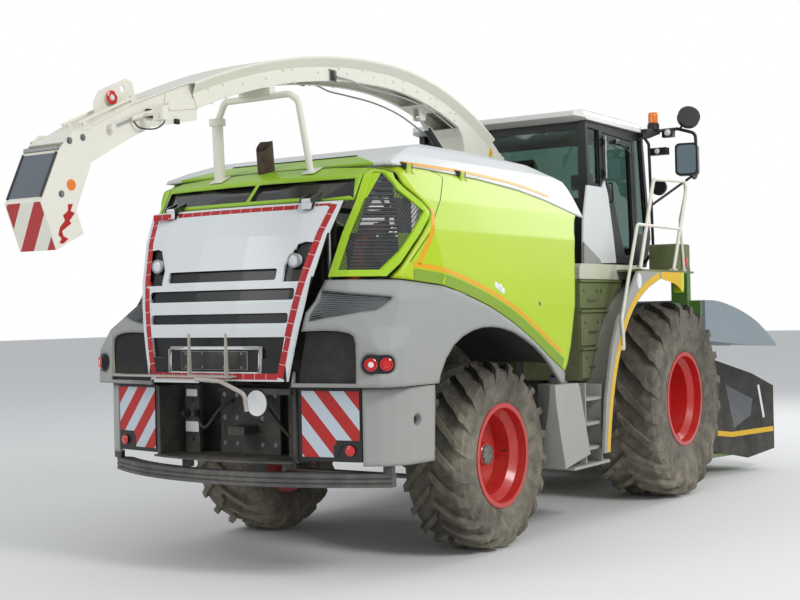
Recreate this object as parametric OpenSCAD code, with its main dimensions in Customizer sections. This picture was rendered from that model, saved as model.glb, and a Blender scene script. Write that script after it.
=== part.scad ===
// Self-propelled forage harvester with its maize header folded for the road.
// Millimetres. +X points forward, +Y to the driver's left, +Z up, the ground is z = 0.
// The origin lies on the ground under the middle of the whole machine.
// Tables that start at the rear axle say so: their x counts from that axle.

/* [Axles and wheels] */
// Rear axle, distance behind the origin
rear_axle_back = 1250; // [1240:5:1260]
// Distance between the axles
wheelbase = 3340; // [3320:5:3360]
// Front tyre, outer radius over the lugs
front_tyre_r = 945; // [935:5:955]
// Front tyre, width
front_tyre_w = 700; // [680:5:700]
// Front rim, radius under the tyre
front_rim_r = 432; // [420:2:440]
// Height of the front tyres' lugs
front_lug_h = 52; // [30:2:60]
// Front wheels, middle of the tyre from the centre line
front_track_half = 1150; // [1140:5:1150]
// Rear tyre, outer radius over the lugs
rear_tyre_r = 725; // [715:5:730]
// Rear tyre, width
rear_tyre_w = 540; // [520:5:550]
// Rear rim, radius under the tyre
rear_rim_r = 381; // [371:2:385]
// Height of the rear tyres' lugs
rear_lug_h = 46; // [30:2:50]
// Rear wheels, middle of the tyre from the centre line
rear_track_half = 1045; // [1040:5:1055]
// Kingpins of the steered rear axle, from the centre line
kingpin_y = 720; // [710:5:730]
// Lugs on each side of a tyre
lug_n = 20; // [16:1:22]
// Thickness of the wheel discs
disc_t = 24; // [16:1:28]

/* [Body] */
// Thickness of the body panels
panel_t = 25; // [15:1:30]
// Gap between neighbouring panels
panel_gap = 8; // [6:1:12]
// Radius of the bowed rear end, seen from above
bow_r = 5900; // [5600:50:6200]
// Width of the green frames round the corner screens
screen_edge = 45; // [35:1:55]
// How far the rear panel stands proud of the body
tail_proud = 34; // [30:1:40]
// Radius of the bowed bumper, seen from above
bumper_r = 2400; // [2300:25:2600]
// Diameter of the exhaust pipe
exhaust_d = 130; // [110:2:150]

/* [Spout] */
// Height of the arch's crest
crest_z = 3894; // [3880:2:3910]
// Outer width of the duct's walls
spout_w = 300; // [290:2:310]
// Width of the duct's top flanges
flange_w = 400; // [360:5:420]
// Depth of the duct
spout_h = 185; // [175:1:190]
// Sheet thickness of the duct
spout_t = 8; // [5:1:12]
// Diameter of the turning ring
turret_d = 620; // [600:5:640]
// Angle of the flap's striped panel against its upper panel
flap_bend = 40; // [30:1:50]

/* [Cab] */
// Half width of the cab
cab_half_w = 920; // [910:2:925]
// Height of the cab floor's underside
cab_floor_z = 2250; // [2245:1:2255]
// Thickness of the cab's walls
cab_wall = 60; // [50:2:70]
// Thickness of the doors
door_t = 50; // [40:2:56]
// Thickness of the glass
glass_t = 6; // [4:1:8]

/* [Decks] */
// Tubes of the handrails, diameter
rail_d = 34; // [28:2:40]
// Outer face of the front fenders from the centre line
fender_y = 1455; // [1450:1:1460]

/* [Interfaces] */
// Rear hitch, radius of the pin's bore
hitch_r = 20; // [15:0.5:25]
// Tie-down eyes, radius of the bore
tie_r = 25; // [20:0.5:28]

/* [Header] */
// Half width of the folded header
header_half_w = 1500; // [1490:1:1500]
// Height of the axis that the header swings about
header_pivot_z = 900; // [890:2:910]
// Radius of the header's crop rotors
rotor_r = 440; // [400:5:450]

/* [Hidden] */
$fn = 64;

rear_x = -rear_axle_back;
front_x = rear_x + wheelbase;
// Zero of the tables of the front half, which hangs on the front axle
fore_x = front_x - 3340;
// Seat between two pieces that are bolted together
fit = 0.3;

// Colours of the real machine
c_leaf = "#cfe000";
c_lime = "#8fc31a";
c_green = "#4f8f2a";
c_cream = "#e9e6d8";
c_white = "#e8eaea";
c_grey = "#a3a6a6";
c_dark = "#2b2d2f";
c_black = "#151617";
c_red = "#c8120f";
c_olive = "#6c7a3f";
c_rubber = "#242424";
c_steel = "#9b9d9f";

// A box between two opposite corners
module block(a, b) {
  translate(a) cube(b - a);
}

// A round bar between two points
module bar(a, b, r, fn = 32) {
  d = b - a;
  translate(a)
    rotate([0, acos(d[2] / norm(d)), atan2(d[1], d[0])])
      cylinder(r = r, h = norm(d), $fn = fn);
}

function unit(v) = v / norm(v);
function turn_at(a, p, b) = acos(min(1, max(-1, unit(p - a) * unit(b - p))));
function bend_len(points, i, r) = i == 0 || i == len(points) - 1 ? 0
  : r * tan(turn_at(points[i - 1], points[i], points[i + 1]) / 2);

// A round tube through a list of points, bent at each inner point with the radius bend_r
module tube(points, r, bend_r, fn = 24) {
  last = len(points) - 1;
  for (i = [0 : last - 1]) {
    u = unit(points[i + 1] - points[i]);
    bar(points[i] + u * (bend_len(points, i, bend_r) - (i > 0 ? 2 : 0)),
      points[i + 1] - u * (bend_len(points, i + 1, bend_r) - (i + 1 < last ? 2 : 0)), r, fn);
  }
  for (i = [1 : last - 1]) {
    u = unit(points[i] - points[i - 1]);
    v = unit(points[i + 1] - points[i]);
    n = unit(v - u * (u * v));
    z = cross(u, n);
    c = points[i] - u * bend_len(points, i, bend_r) + n * bend_r;
    multmatrix([[-n[0], u[0], z[0], c[0]], [-n[1], u[1], z[1], c[1]], [-n[2], u[2], z[2], c[2]], [0, 0, 0, 1]])
      rotate_extrude(angle = turn_at(points[i - 1], points[i], points[i + 1]), $fn = 72)
        translate([bend_r, 0]) circle(r = r + 0.4, $fn = fn);
  }
}

// The same shape on both sides of the centre line
module both_sides() {
  children();
  mirror([0, 1, 0]) children();
}

// The shape on the left side, or its mirror image on the right
module on_side(side) {
  if (side > 0) children();
  else mirror([0, 1, 0]) children();
}

// An outline in the side view, x forward and z up, pushed out from y0 to y1
module side_plate(points, y0, y1) {
  translate([0, y1, 0]) rotate([90, 0, 0]) linear_extrude(y1 - y0) polygon(points);
}

// An outline in the rear view, y and z, pushed out from x0 to x1
module rear_plate(points, x0, x1) {
  translate([x0, 0, 0]) rotate([90, 0, 90]) linear_extrude(x1 - x0) polygon(points);
}

// An outline in the top view, x and y, pushed out from z0 to z1
module top_plate(points, z0, z1) {
  translate([0, 0, z0]) linear_extrude(z1 - z0) polygon(points);
}

function reversed(points) = [for (i = [len(points) - 1 : -1 : 0]) points[i]];
function shifted(points, dx, dz) = [for (p = points) [p[0] + dx, p[1] + dz]];
function at_rear(points) = shifted(points, rear_x, 0);
function at_fore(points) = shifted(points, fore_x, 0);
function round_box(a, b, r, n = 5) = [for (c = [[b[0] - r, b[1] - r, 0], [a[0] + r, b[1] - r, 90], [a[0] + r, a[1] + r, 180],
  [b[0] - r, a[1] + r, 270]]) for (i = [0 : n]) let (t = c[2] + 90 * i / n) [c[0] + r * cos(t), c[1] + r * sin(t)]];

// A smooth line through the points of a table, with n steps between two of them
function smooth(p, n = 4) = concat([for (i = [0 : len(p) - 2]) for (k = [0 : n - 1])
  let (t = k / n, a = p[max(i - 1, 0)], b = p[i], c = p[i + 1], d = p[min(i + 2, len(p) - 1)])
  0.5 * (2 * b + (c - a) * t + (2 * a - 5 * b + 4 * c - d) * t * t + (3 * b - a - 3 * c + d) * t * t * t)],
  [p[len(p) - 1]]);

// The same line moved sideways by d, to the left of its direction
function side_of(a, b) = let (u = unit(b - a)) [-u[1], u[0]];
function moved(p, d) = let (last = len(p) - 1) [for (i = [0 : last])
  let (m = side_of(p[max(i - 1, 0)], p[max(i, 1)]), n = side_of(p[min(i, last - 1)], p[min(i + 1, last)]))
  p[i] + (m + n) * d / (1 + m * n)];
// A closed outline moved sideways by d, to the left of its direction
function ring(p, d) = let (n = len(p)) [for (i = [0 : n - 1])
  let (m = side_of(p[(i + n - 1) % n], p[i]), s = side_of(p[i], p[(i + 1) % n])) p[i] + (m + s) * d / (1 + m * s)];
// The strip between a line and its copy moved by d
function strip(p, d, e = 0) = concat(moved(p, e), reversed(moved(p, d)));

// Wheels

function bead(w) = w * 0.43;
function both_halves(points) = concat(points, [for (i = [len(points) - 1 : -1 : 0]) [points[i][0], -points[i][1]]]);
function carcass(r, w, rim_r, lug_h) = [
  [rim_r, bead(w)], [rim_r + 28, bead(w)], [rim_r + 48, bead(w) + 14], [(rim_r + r) / 2 - 10, w * 0.495], [r - lug_h - 74, w * 0.49],
  [r - lug_h - 32, w * 0.45], [r - lug_h - 10, w * 0.34], [r - lug_h, w * 0.10]];
function over_lugs(r, w) = [[r * 0.735, w * 0.495], [r - 115, w * 0.5], [r - 45, w * 0.485], [r - 12, w * 0.40],
  [r - 4, w * 0.20], [r, w * 0.008]];
// Plan of one lug: part of the tyre's radius forward, part of its width across
lug_plan = [[0.01, 0.012], [-0.10, 0.13], [-0.21, 0.30], [-0.30, 0.40], [-0.34, 0.53], [-0.27, 0.53], [-0.215, 0.41],
  [-0.12, 0.28], [-0.01, 0.13], [0.075, 0.012]];
module lug(r, w, lug_h) {
  intersection() {
    rotate([0, 0, -24]) rotate_extrude(angle = 30, $fn = 72)
      polygon(concat([[r - lug_h - 79, w * 0.40], [r - lug_h - 79, w * 0.008]], reversed(over_lugs(r, w))));
    rotate([0, 90, 0]) linear_extrude(r + 10) polygon([for (p = lug_plan) [-p[1] * w, p[0] * r]]);
  }
}

module tyre(x, y, r, w, rim_r, lug_h) {
  color(c_rubber) translate([x, y, r]) rotate([-90, 0, 0]) {
    rotate_extrude($fn = 72) polygon(both_halves(carcass(r, w, rim_r, lug_h)));
    for (i = [0 : lug_n - 1]) {
      rotate([0, 0, i * 360 / lug_n]) lug(r, w, lug_h);
      rotate([0, 0, (i + 0.5) * 360 / lug_n]) mirror([0, 0, 1]) lug(r, w, lug_h);
    }
  }
}

// The rim's outline: hub, dished disc, inner side of the barrel, flanges, well
function rim_outline(b, r, disc, hub_r, hub_out) = [
  [0, disc], [0, hub_out], [hub_r - 8, hub_out], [hub_r, hub_out - 8], [hub_r, disc + disc_t], [r * 0.55, disc + disc_t + 4],
  [r - 75, disc + disc_t + 34], [r - 70, b - 112], [r - 22, b - 60], [r - 14, b + fit + 9], [r + 22, b + fit + 9], [r + 22, b + fit],
  [r - fit, b + fit], [r - 7, b - 60], [r - 58, b - 108], [r - 58, 108 - b], [r - 7, 60 - b],
  [r - fit, -b - fit], [r + 22, -b - fit], [r + 22, -b - fit - 9], [r - 14, -b - fit - 9], [r - 22, 60 - b],
  [r - 70, 112 - b], [r - 72, disc + 8], [r * 0.5, disc - 10], [hub_r, disc]];

module rim(x, y, r, w, rim_r, disc, hub_r, hub_out, bolts) {
  turn = y > 0 ? -90 : 90;
  color(c_red) translate([x, y, r]) rotate([turn, 0, 0]) {
    rotate_extrude($fn = 72) polygon(rim_outline(bead(w), rim_r, disc, hub_r, hub_out));
    for (i = [0 : bolts - 1]) rotate([0, 0, (i + 0.5) * 360 / bolts])
      translate([hub_r + 35, 0, disc + disc_t - 6]) cylinder(r = 14, h = 30, $fn = 6);
  }
}

front_disc = -40;
rear_disc = -70;
module tyre_front_left() tyre(front_x, front_track_half, front_tyre_r, front_tyre_w, front_rim_r, front_lug_h);
module tyre_front_right() tyre(front_x, -front_track_half, front_tyre_r, front_tyre_w, front_rim_r, front_lug_h);
module tyre_rear_left() tyre(rear_x, rear_track_half, rear_tyre_r, rear_tyre_w, rear_rim_r, rear_lug_h);
module tyre_rear_right() tyre(rear_x, -rear_track_half, rear_tyre_r, rear_tyre_w, rear_rim_r, rear_lug_h);
module rim_front_left()
  rim(front_x, front_track_half, front_tyre_r, front_tyre_w, front_rim_r, front_disc, 160, 40, 10);
module rim_front_right()
  rim(front_x, -front_track_half, front_tyre_r, front_tyre_w, front_rim_r, front_disc, 160, 40, 10);
module rim_rear_left()
  rim(rear_x, rear_track_half, rear_tyre_r, rear_tyre_w, rear_rim_r, rear_disc, 92, 95, 8);
module rim_rear_right()
  rim(rear_x, -rear_track_half, rear_tyre_r, rear_tyre_w, rear_rim_r, rear_disc, 92, 95, 8);

// Axles

pin_half = 160;
ear_t = 34;
ear_gap = 1;
arm_back = 215;
arm_t = 28;
arm_z = rear_tyre_r - pin_half + 12;

module rear_axle() {
  color(c_dark) {
    block([rear_x - 85, -600, rear_tyre_r - 75], [rear_x + 85, 600, rear_tyre_r + 75]);
    both_sides() {
      block([rear_x - 45, 595, rear_tyre_r - pin_half - ear_gap - ear_t], [rear_x + 45, 632, rear_tyre_r + pin_half + ear_gap + ear_t]);
      for (z = [rear_tyre_r - pin_half - ear_gap - ear_t, rear_tyre_r + pin_half + ear_gap])
        difference() {
          union() {
            block([rear_x - 45, 620, z], [rear_x + 45, kingpin_y, z + ear_t]);
            translate([rear_x, kingpin_y, z]) cylinder(r = 60, h = ear_t);
          }
          translate([rear_x, kingpin_y, z - 1]) cylinder(r = 22, h = ear_t + 2);
        }
    }
    // Block that hangs the axle under the frame
    block([rear_x - 130, -110, rear_tyre_r + 74], [rear_x + 130, 110, rail_low - fit]);
  }
}

// Steering knuckle with its spindle and arm
module knuckle(side) {
  hub_face = rear_track_half + rear_disc - fit;
  color(c_steel) on_side(side) {
    translate([rear_x, kingpin_y, rear_tyre_r - pin_half]) cylinder(r = 56, h = 2 * pin_half);
    // Kingpin through both ears
    translate([rear_x, kingpin_y, rear_tyre_r - pin_half - ear_gap - ear_t]) cylinder(r = 21, h = 2 * (pin_half + ear_gap + ear_t));
    bar([rear_x, kingpin_y, rear_tyre_r], [rear_x, hub_face, rear_tyre_r], 60, 48);
    bar([rear_x, hub_face - 40, rear_tyre_r], [rear_x, hub_face, rear_tyre_r], 90, 48);
    difference() {
      hull() {
        translate([rear_x, kingpin_y, arm_z]) cylinder(r = 34, h = arm_t, $fn = 32);
        translate([rear_x - arm_back, kingpin_y - 20, arm_z]) cylinder(r = 30, h = arm_t, $fn = 32);
      }
      translate([rear_x - arm_back, kingpin_y - 20, arm_z - 1]) cylinder(r = 15, h = arm_t + 2);
    }
  }
}
module knuckle_left() knuckle(1);
module knuckle_right() knuckle(-1);

// Bar between the two steering arms; its eyes lie just under the arms
bar_z = arm_z - 28;
module steering_bar() {
  color(c_steel) {
    bar([rear_x - arm_back, 25 - kingpin_y, bar_z], [rear_x - arm_back, kingpin_y - 25, bar_z], 19, 32);
    both_sides() translate([rear_x - arm_back, kingpin_y - 20, bar_z - 22]) cylinder(r = 32, h = 48, $fn = 32);
  }
}

housing_half = 420;
module front_axle() {
  flange = front_track_half + front_disc - fit;
  color(c_dark) both_sides() {
    bar([front_x, housing_half + 60, front_tyre_r], [front_x, flange - 60, front_tyre_r], 175, 64);
    bar([front_x, flange - 70, front_tyre_r], [front_x, flange, front_tyre_r], 150, 64);
    block([front_x - 200, housing_half, front_tyre_r - 190], [front_x + 130, housing_half + 65, front_tyre_r + 230]);
    // Hanger up to the deck
    block([front_x - 60, housing_half + 10, front_tyre_r + 229], [front_x + 60, housing_half + 60, deck_low - fit]);
  }
}

// Frame, engine and chopper

rail_low = 900;
rail_top = 1120;
rail_in = 120;
rail_out = 205;
rail_end = rear_x - 1330;
pan_top = 1498;
housing_back = fore_x + 2491;
housing_front = fore_x + 3500;
deck_low = 2100;
tie_z = 755;
eye_x = rear_x - 1270;
// Beams that carry the hood
hood_rail_y = 1000;
hoop_x = rear_x - 1205;
module chassis_frame() {
  color(c_dark) {
    both_sides() {
      block([rail_end, rail_in, rail_low], [housing_back - 1, rail_out, rail_top]);
      block([fore_x + 1250, rail_out, 820], [housing_back - 1, 420, rail_top]);
    }
    for (x = [rail_end, rear_x - 700, rear_x + 500, rear_x + 1400]) block([x, -rail_in, 930], [x + 90, rail_in, 1090]);
    // Cradle of the engine
    for (x = [rear_x - 880, rear_x + 620]) block([x, -rail_out, rail_top], [x + 120, rail_out, pan_top - 27]);
    block([rear_x - 900, -600, pan_top - 28], [rear_x + 760, 600, pan_top]);
    // Belly pan
    block([fore_x + 1250, -419, 700], [fore_x + 1950, 419, 821]);
    // Outriggers of the tanks and the steps
    block([fore_x + 960, -1179.7, 830], [fore_x + 1050, 1179.7, 901]);
    block([fore_x + 1500, -1057.7, 830], [fore_x + 1590, 1057.7, 899]);
    block([fore_x + 1600, -799.7, 830], [fore_x + 1745, 799.7, 899]);
    both_sides() {
      block([fore_x + 1600, 690, 898], [fore_x + 1745, 799.7, tier_z[0] - fit]);
      // Brackets of the wheel arches
      block([rear_x - 60, 599, pan_top - 28], [rear_x + 60, 659.7, 1760]);
      // Tie-down eyes
      difference() {
        block([eye_x - 60, rail_out - 20, tie_z - 50], [eye_x + 60, rail_out, rail_low + 1]);
        translate([eye_x, rail_out + 10, tie_z]) rotate([90, 0, 0]) cylinder(r = tie_r, h = 40);
      }
    }
  }
}

// Rear plate that carries the bay, the boards and the corner panels
module tail_frame() {
  in_line = moved(at_rear(reversed(lower_line)), panel_t + fit);
  color(c_dark) {
    block([rail_end - 16, -1120, 850], [rail_end - fit, 1120, 1330]);
    both_sides() {
      top_plate([[rail_end - 15, 880], [rail_end - 15, 940], [board_x(940), 940], [board_x(880), 880]], 1000, 1060);
      top_plate([in_line[1], in_line[2], [in_line[2][0], 1060], [rail_end - 15, 1060], [rail_end - 15, 1120], [in_line[1][0], 1120]],
        1000, 1050);
      block([rear_x - 1345, 560, 1250], [rear_x - 1260, 630, 1330]);
    }
  }
}

// Posts and beams under the hood
module hood_frame() {
  color(c_dark) {
    both_sides() {
      side_plate(at_rear([[1550, 899 + fit], [1550, top_at(1550)], [1610, top_at(1610)], [1610, 899 + fit]]), 560, 630);
      block([rear_x - 1330, 560, 1330 + fit], [rear_x - 1260, 630, 2500]);
      block([rear_x - 1261, 560, 2290], [hoop_x + 10, 630, 2330]);
      block([rear_x - 1330, 629, 1380], [rear_x - 1260, 740, 1420]);
      block([rear_x - 1767.4, 700, 1380], [rear_x - 1260, 740, 1420]);
      block([rear_x - 1118, hood_rail_y - 30, 2775], [rear_x + 1600, hood_rail_y, 2825]);
      // Foot of the rail, below the sweep of the side hood
      block([hoop_x, hood_rail_y - 30, 2690], [rear_x - 1070, hood_rail_y, 2740]);
      block([rear_x - 1118, hood_rail_y - 30, 2739], [rear_x - 1070, hood_rail_y, 2776]);
      block([rear_x + 1551, 600, 2775], [rear_x + 1600, hood_rail_y, 2825]);
      for (x = hood_hinges) hood_hinge_arms(rear_x + x);
    }
    // Hoop under the seam of the roof
    difference() {
      intersection() {
        body_skin(all_turns, panel_t + fit, panel_t + 34);
        block([hoop_x, -1400, 2290], [hoop_x + 50, 1400, 3300]);
      }
      // Room for the corner of an opening side hood
      both_sides() bar([rear_x - 1185, hinge_y, hinge_z], [rear_x - 1100, hinge_y, hinge_z], 192);
    }
    intersection() {
      body_form(all_turns, panel_t + fit);
      union() {
        block([hoop_x, -1225, 2290], [hoop_x + 50, 1225, 2330]);
        both_sides() block([hoop_x, hood_rail_y - 30, 2690], [hoop_x + 20, 1250, 2740]);
      }
    }
  }
}
// Underside of the hood over a point on its centre line, x from the rear axle
function top_at(x) = lookup(x, [for (p = profile_rows) if (p[0] > -1000) [p[0], p[1]]]) - panel_t - fit;

module engine_block() {
  color(c_steel) {
    block([rear_x - 620, -540, pan_top], [rear_x + 560, 540, 2420]);
    block([rear_x - 880, -560, pan_top], [rear_x - 621, 560, 2500]);
  }
}

turret_x = fore_x + 1780;
turret_z = 3080;
pivot_x = fore_x + 3550;
cyl_foot = [fore_x + 2750, 560];
cyl_eye = [fore_x + 4100, 300];
module chopper_housing() {
  color(c_green) {
    block([housing_back, -housing_half, 430], [housing_front, housing_half, 1500]);
    side_plate([[fore_x + 2750, 1499], [housing_back, 1499], [turret_x - 250, 2600], [turret_x - 250, 2930], [turret_x + 250, 2930],
      [turret_x + 250, 2700]], -240, 240);
    difference() {
      translate([turret_x, 0, 2920]) cylinder(d = turret_d, h = turret_z - 2920);
      translate([turret_x, 0, 2960]) cylinder(d = turret_d - 120, h = turret_z - 2920);
    }
    both_sides() {
      // Pins that the feeder house hangs on, with their bosses
      bar([pivot_x, housing_half - 1, header_pivot_z], [pivot_x, housing_half + 24, header_pivot_z], 28);
      side_plate(concat(arc(pivot_x, header_pivot_z, 60, -90, 90, 10), [[housing_front - 1, header_pivot_z + 60],
        [housing_front - 1, header_pivot_z - 60]]), housing_half - 20, housing_half);
      // Pins of the lift cylinders
      bar([cyl_foot[0], housing_half - 1, cyl_foot[1]], [cyl_foot[0], housing_half + 112, cyl_foot[1]], 22);
      bar([cyl_foot[0], housing_half - 1, cyl_foot[1]], [cyl_foot[0], housing_half + 13.7, cyl_foot[1]], 52, 48);
    }
  }
}
function arc(cx, cz, r, a0, a1, n) = [for (i = [0 : n]) let (a = a0 + (a1 - a0) * i / n) [cx + r * cos(a), cz + r * sin(a)]];

// Outer form of the body

// Rear and top line on the centre, from the rear axle: x, z
profile_rows = [[-1850, 700], [-1852, 1400], [-1840, 1700], [-1800, 2000], [-1740, 2220], [-1650, 2450], [-1540, 2640],
  [-1460, 2750], [-1360, 2835], [-1219, 2901], [-1000, 2985], [-700, 3075], [-200, 3160], [500, 3165], [1200, 3085],
  [1640, 2960], [1960, 2860]];
// Half width by height: z, half width
section_rows = [[700, 1390], [1545, 1402], [1880, 1388], [2085, 1358], [2430, 1295], [2650, 1220], [2820, 1130],
  [2900, 1080], [3000, 1000], [3090, 900], [3145, 760], [3170, 500], [3178, 0]];
// Radius of the rear corners by height: z, radius
corner_rows = [[700, 250], [1400, 250], [1600, 260], [1750, 420], [1930, 850], [2100, 950], [2400, 760], [2650, 520],
  [2830, 200], [2900, 200], [3300, 200]];
crest_rows = [for (p = profile_rows) if (p[0] < 0) [p[1], -p[0]]];
body_top = 3178;
body_front = 1900;
function rear_at(z) = lookup(z, crest_rows);
function side_at(z) = lookup(z, section_rows);

// Distance of the body's face from the rear axle along a line turned by t from straight back
function face_at(t, z) = t < 20 ? (rear_at(z) - bow_r) * cos(t) + bow_r
  : let (r = lookup(z, corner_rows)) (rear_at(z) - 90 - r) * cos(t) + (side_at(z) - r) * sin(t) + r;

module body_form(turns, d) {
  sec = [for (i = [0 : len(section_rows) - 2]) let (p = section_rows[i]) [p[1] - d, p[0] - (p[0] > 2860 ? d : 0)]];
  intersection() {
    rear_plate(concat(sec, [[0, body_top - d]], [for (p = reversed(sec)) [-p[0], p[1]]]), rear_x - 1950, rear_x + body_front);
    side_plate(concat(at_rear([for (p = profile_rows) [p[0] + (p[1] < 2900 ? d : 0), p[1] - (p[1] > 2300 ? d : 0)]]),
      [[rear_x + body_front + 100, 2860 - d], [rear_x + body_front + 100, 700]]), -1500, 1500);
    intersection_for (t = concat([0], turns)) translate([rear_x, 0, 0]) rotate([0, 0, 180 - t])
      side_plate(concat([for (p = corner_rows) [face_at(abs(t), p[0]) - d, p[0]]], [[-4000, 3300], [-4000, 700]]), -3500, 3500);
  }
}

module body_skin(turns, d0 = 0, d1 = panel_t) {
  difference() {
    body_form(turns, d0);
    body_form(turns, d1);
  }
}
tail_turns = [-12, -8, -4, 0, 4, 8, 12];
left_turns = [22.5, 45, 67.5];
all_turns = concat(tail_turns, left_turns, [-22.5, -45, -67.5]);

// Lower edge of the side hood, from the rear axle, and its front edge and top seam
hood_edge = smooth([[-1318, 2083], [-1000, 2040], [-660, 1968], [-330, 1876], [0, 1756], [300, 1620], [580, 1473], [860, 1335]], 2);
hood_front = [[905, 1395], [965, 1530], [1060, 1790], [1165, 2090], [1265, 2350], [1340, 2500], [1410, 2590], [1480, 2650]];
seam = [[1480, 2663], [1000, 2763], [600, 2823], [0, 2870], [-750, 2893], [-1180, 2893]];
hood_rear = [[-1118, 2742], [-925, 2563], [-1070, 2380]];
// Hinges of the side hoods, x from the rear axle
hood_hinges = [-1000, -250];
hinge_y = 1104;
hinge_z = 2895;
module side_hood(side) {
  color(c_leaf) on_side(side) {
    difference() {
      intersection() {
        body_skin([45, 67.5]);
        side_plate(at_rear(concat(hood_edge, hood_front, shifted(seam, 0, -panel_gap), hood_rear)), 700, 1500);
      }
      for (x = hood_hinges) for (d = [-47, 31]) block([rear_x + x + d, 1000, 2835], [rear_x + x + d + 16, 1200, 2960]);
      // Thin lip at the rear corner, which turns past the screen
      intersection() {
        body_form([45, 67.5], 7);
        block([rear_x - 1190, 880, 2770], [rear_x - 1130, 1116, 2950]);
      }
    }
    // Hinge barrels
    for (x = hood_hinges) difference() {
      union() {
        rear_plate([[1072, 2835], [1112, 2835], [hinge_y + 13, hinge_z], [hinge_y - 13, hinge_z]], rear_x + x - 30, rear_x + x + 30);
        bar([rear_x + x - 30, hinge_y, hinge_z], [rear_x + x + 30, hinge_y, hinge_z], 15);
      }
      bar([rear_x + x - 31, hinge_y, hinge_z], [rear_x + x + 31, hinge_y, hinge_z], 8.5);
    }
  }
}
// Arms and pin of one hinge, on the left side
module hood_hinge_arms(x) {
  for (d = [-44, 34]) rear_plate([[hood_rail_y - 10, 2790], [hood_rail_y - 10, 2824], [hinge_y - 18, hinge_z + 15],
    [hinge_y + 12, hinge_z + 15], [hinge_y + 12, hinge_z - 14], [1058, 2790]], x + d, x + d + 10);
  bar([x - 44, hinge_y, hinge_z], [x + 44, hinge_y, hinge_z], 8);
}
module side_hood_left() side_hood(1);
module side_hood_right() side_hood(-1);

// White hood over the engine, with the round opening of the spout
module hood_top() {
  top = [[-1180 + panel_gap, 2893], [-1180 + panel_gap, 3300], [1620, 3300], [1620, 2640]];
  color(c_white) difference() {
    intersection() {
      body_skin([]);
      side_plate(at_rear(concat(reversed(seam), reversed(top))), -1500, 1500);
    }
    translate([turret_x, 0, 2900]) cylinder(d = turret_d + 24, h = 400);
    block([rear_x - 1200, -1500, 2600], [rear_x - 1180 + panel_gap, 1500, 3300]);
    both_sides() for (x = hood_hinges) block([rear_x + x - 48, 1040, 2850], [rear_x + x + 48, 1200, 2920]);
  }
}

// Rear end of the roof with its two dark windows
tail_top = 2628;
tail_low = 1385;
tail_w0 = 640;
tail_w1 = 900;
function tail_w(z) = tail_w0 + (z - tail_low) * (tail_w1 - tail_w0) / (tail_top - tail_low);
pane_z = [2668, 2795];
module roof_cap() {
  color(c_lime) {
    difference() {
      intersection() {
        body_skin(all_turns);
        block([rear_x - 1950, -1300, tail_top + panel_gap], [rear_x - 1180, 1300, 3200]);
        rear_plate([[-905, 2600], [905, 2600], [917, 2895], [1100, 2895], [1100, 3200], [-1100, 3200], [-1100, 2895],
          [-917, 2895]], rear_x - 1950, 0);
      }
      for (y = [[-875, -60], [-25, 875]]) block([rear_x - 1950, y[0], pane_z[0]], [rear_x - 1200, y[1], pane_z[1]]);
    }
    // Hinge lugs of the rear panel
    both_sides() {
      for (y = [585, 681]) side_plate(at_rear([[-1602, 2622], [-1602, 2652], [-1480, 2700], [-1480, 2642], [-1562, 2640],
        [-1568, 2622]]), y, y + 14);
      bar([tail_hinge[0], 586, tail_hinge[1]], [tail_hinge[0], 694, tail_hinge[1]], 8);
    }
  }
  // Glass behind the windows
  color(c_black) intersection() {
    body_skin(all_turns, panel_t - 1, panel_t + 7);
    block([rear_x - 1950, -890, pane_z[0] - 16], [rear_x - 1300, 890, pane_z[1] + 16]);
  }
}

// Green frames round the corner screens, with the screen set into each
screen_line = [[-1900, 2101], [-1345, 2097], [-1096, 2385], [-948, 2560], [-1140, 2733], [-1194, 2885], [-1500, 2885]];
function screen_side(z) = tail_w(z) + 24;
module screen_cut(e) {
  intersection() {
    side_plate(at_rear(moved(concat(screen_line, [[-1900, 2885]]), e)), 600, 1500);
    rear_plate([[screen_side(2000) + e, 2000], [1600, 2000], [1600, 2886 - e], [926 + e, 2886 - e], [screen_side(2640) + e, 2640]],
      rear_x - 1950, 0);
  }
}
module corner_screens() {
  color(c_lime) both_sides() {
    difference() {
      intersection() {
        body_skin(left_turns);
        screen_cut(0);
      }
      screen_cut(screen_edge);
      // Room behind the edge for the corner of the opening side hood
      intersection() {
        body_form(left_turns, 8);
        block([rear_x - 1190, 1050, 2745], [rear_x - 1120, 1150, 2870]);
      }
      side_plate(at_rear([[-1188, 2870], [-1120, 2870], [-1120, 2748], [-1150, 2748], [-1178, 2790]]), 1000, 1250);
    }
    color(c_black) intersection() {
      body_skin(left_turns, panel_t - 8, panel_t);
      screen_cut(screen_edge - 0.5);
    }
  }
}

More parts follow.
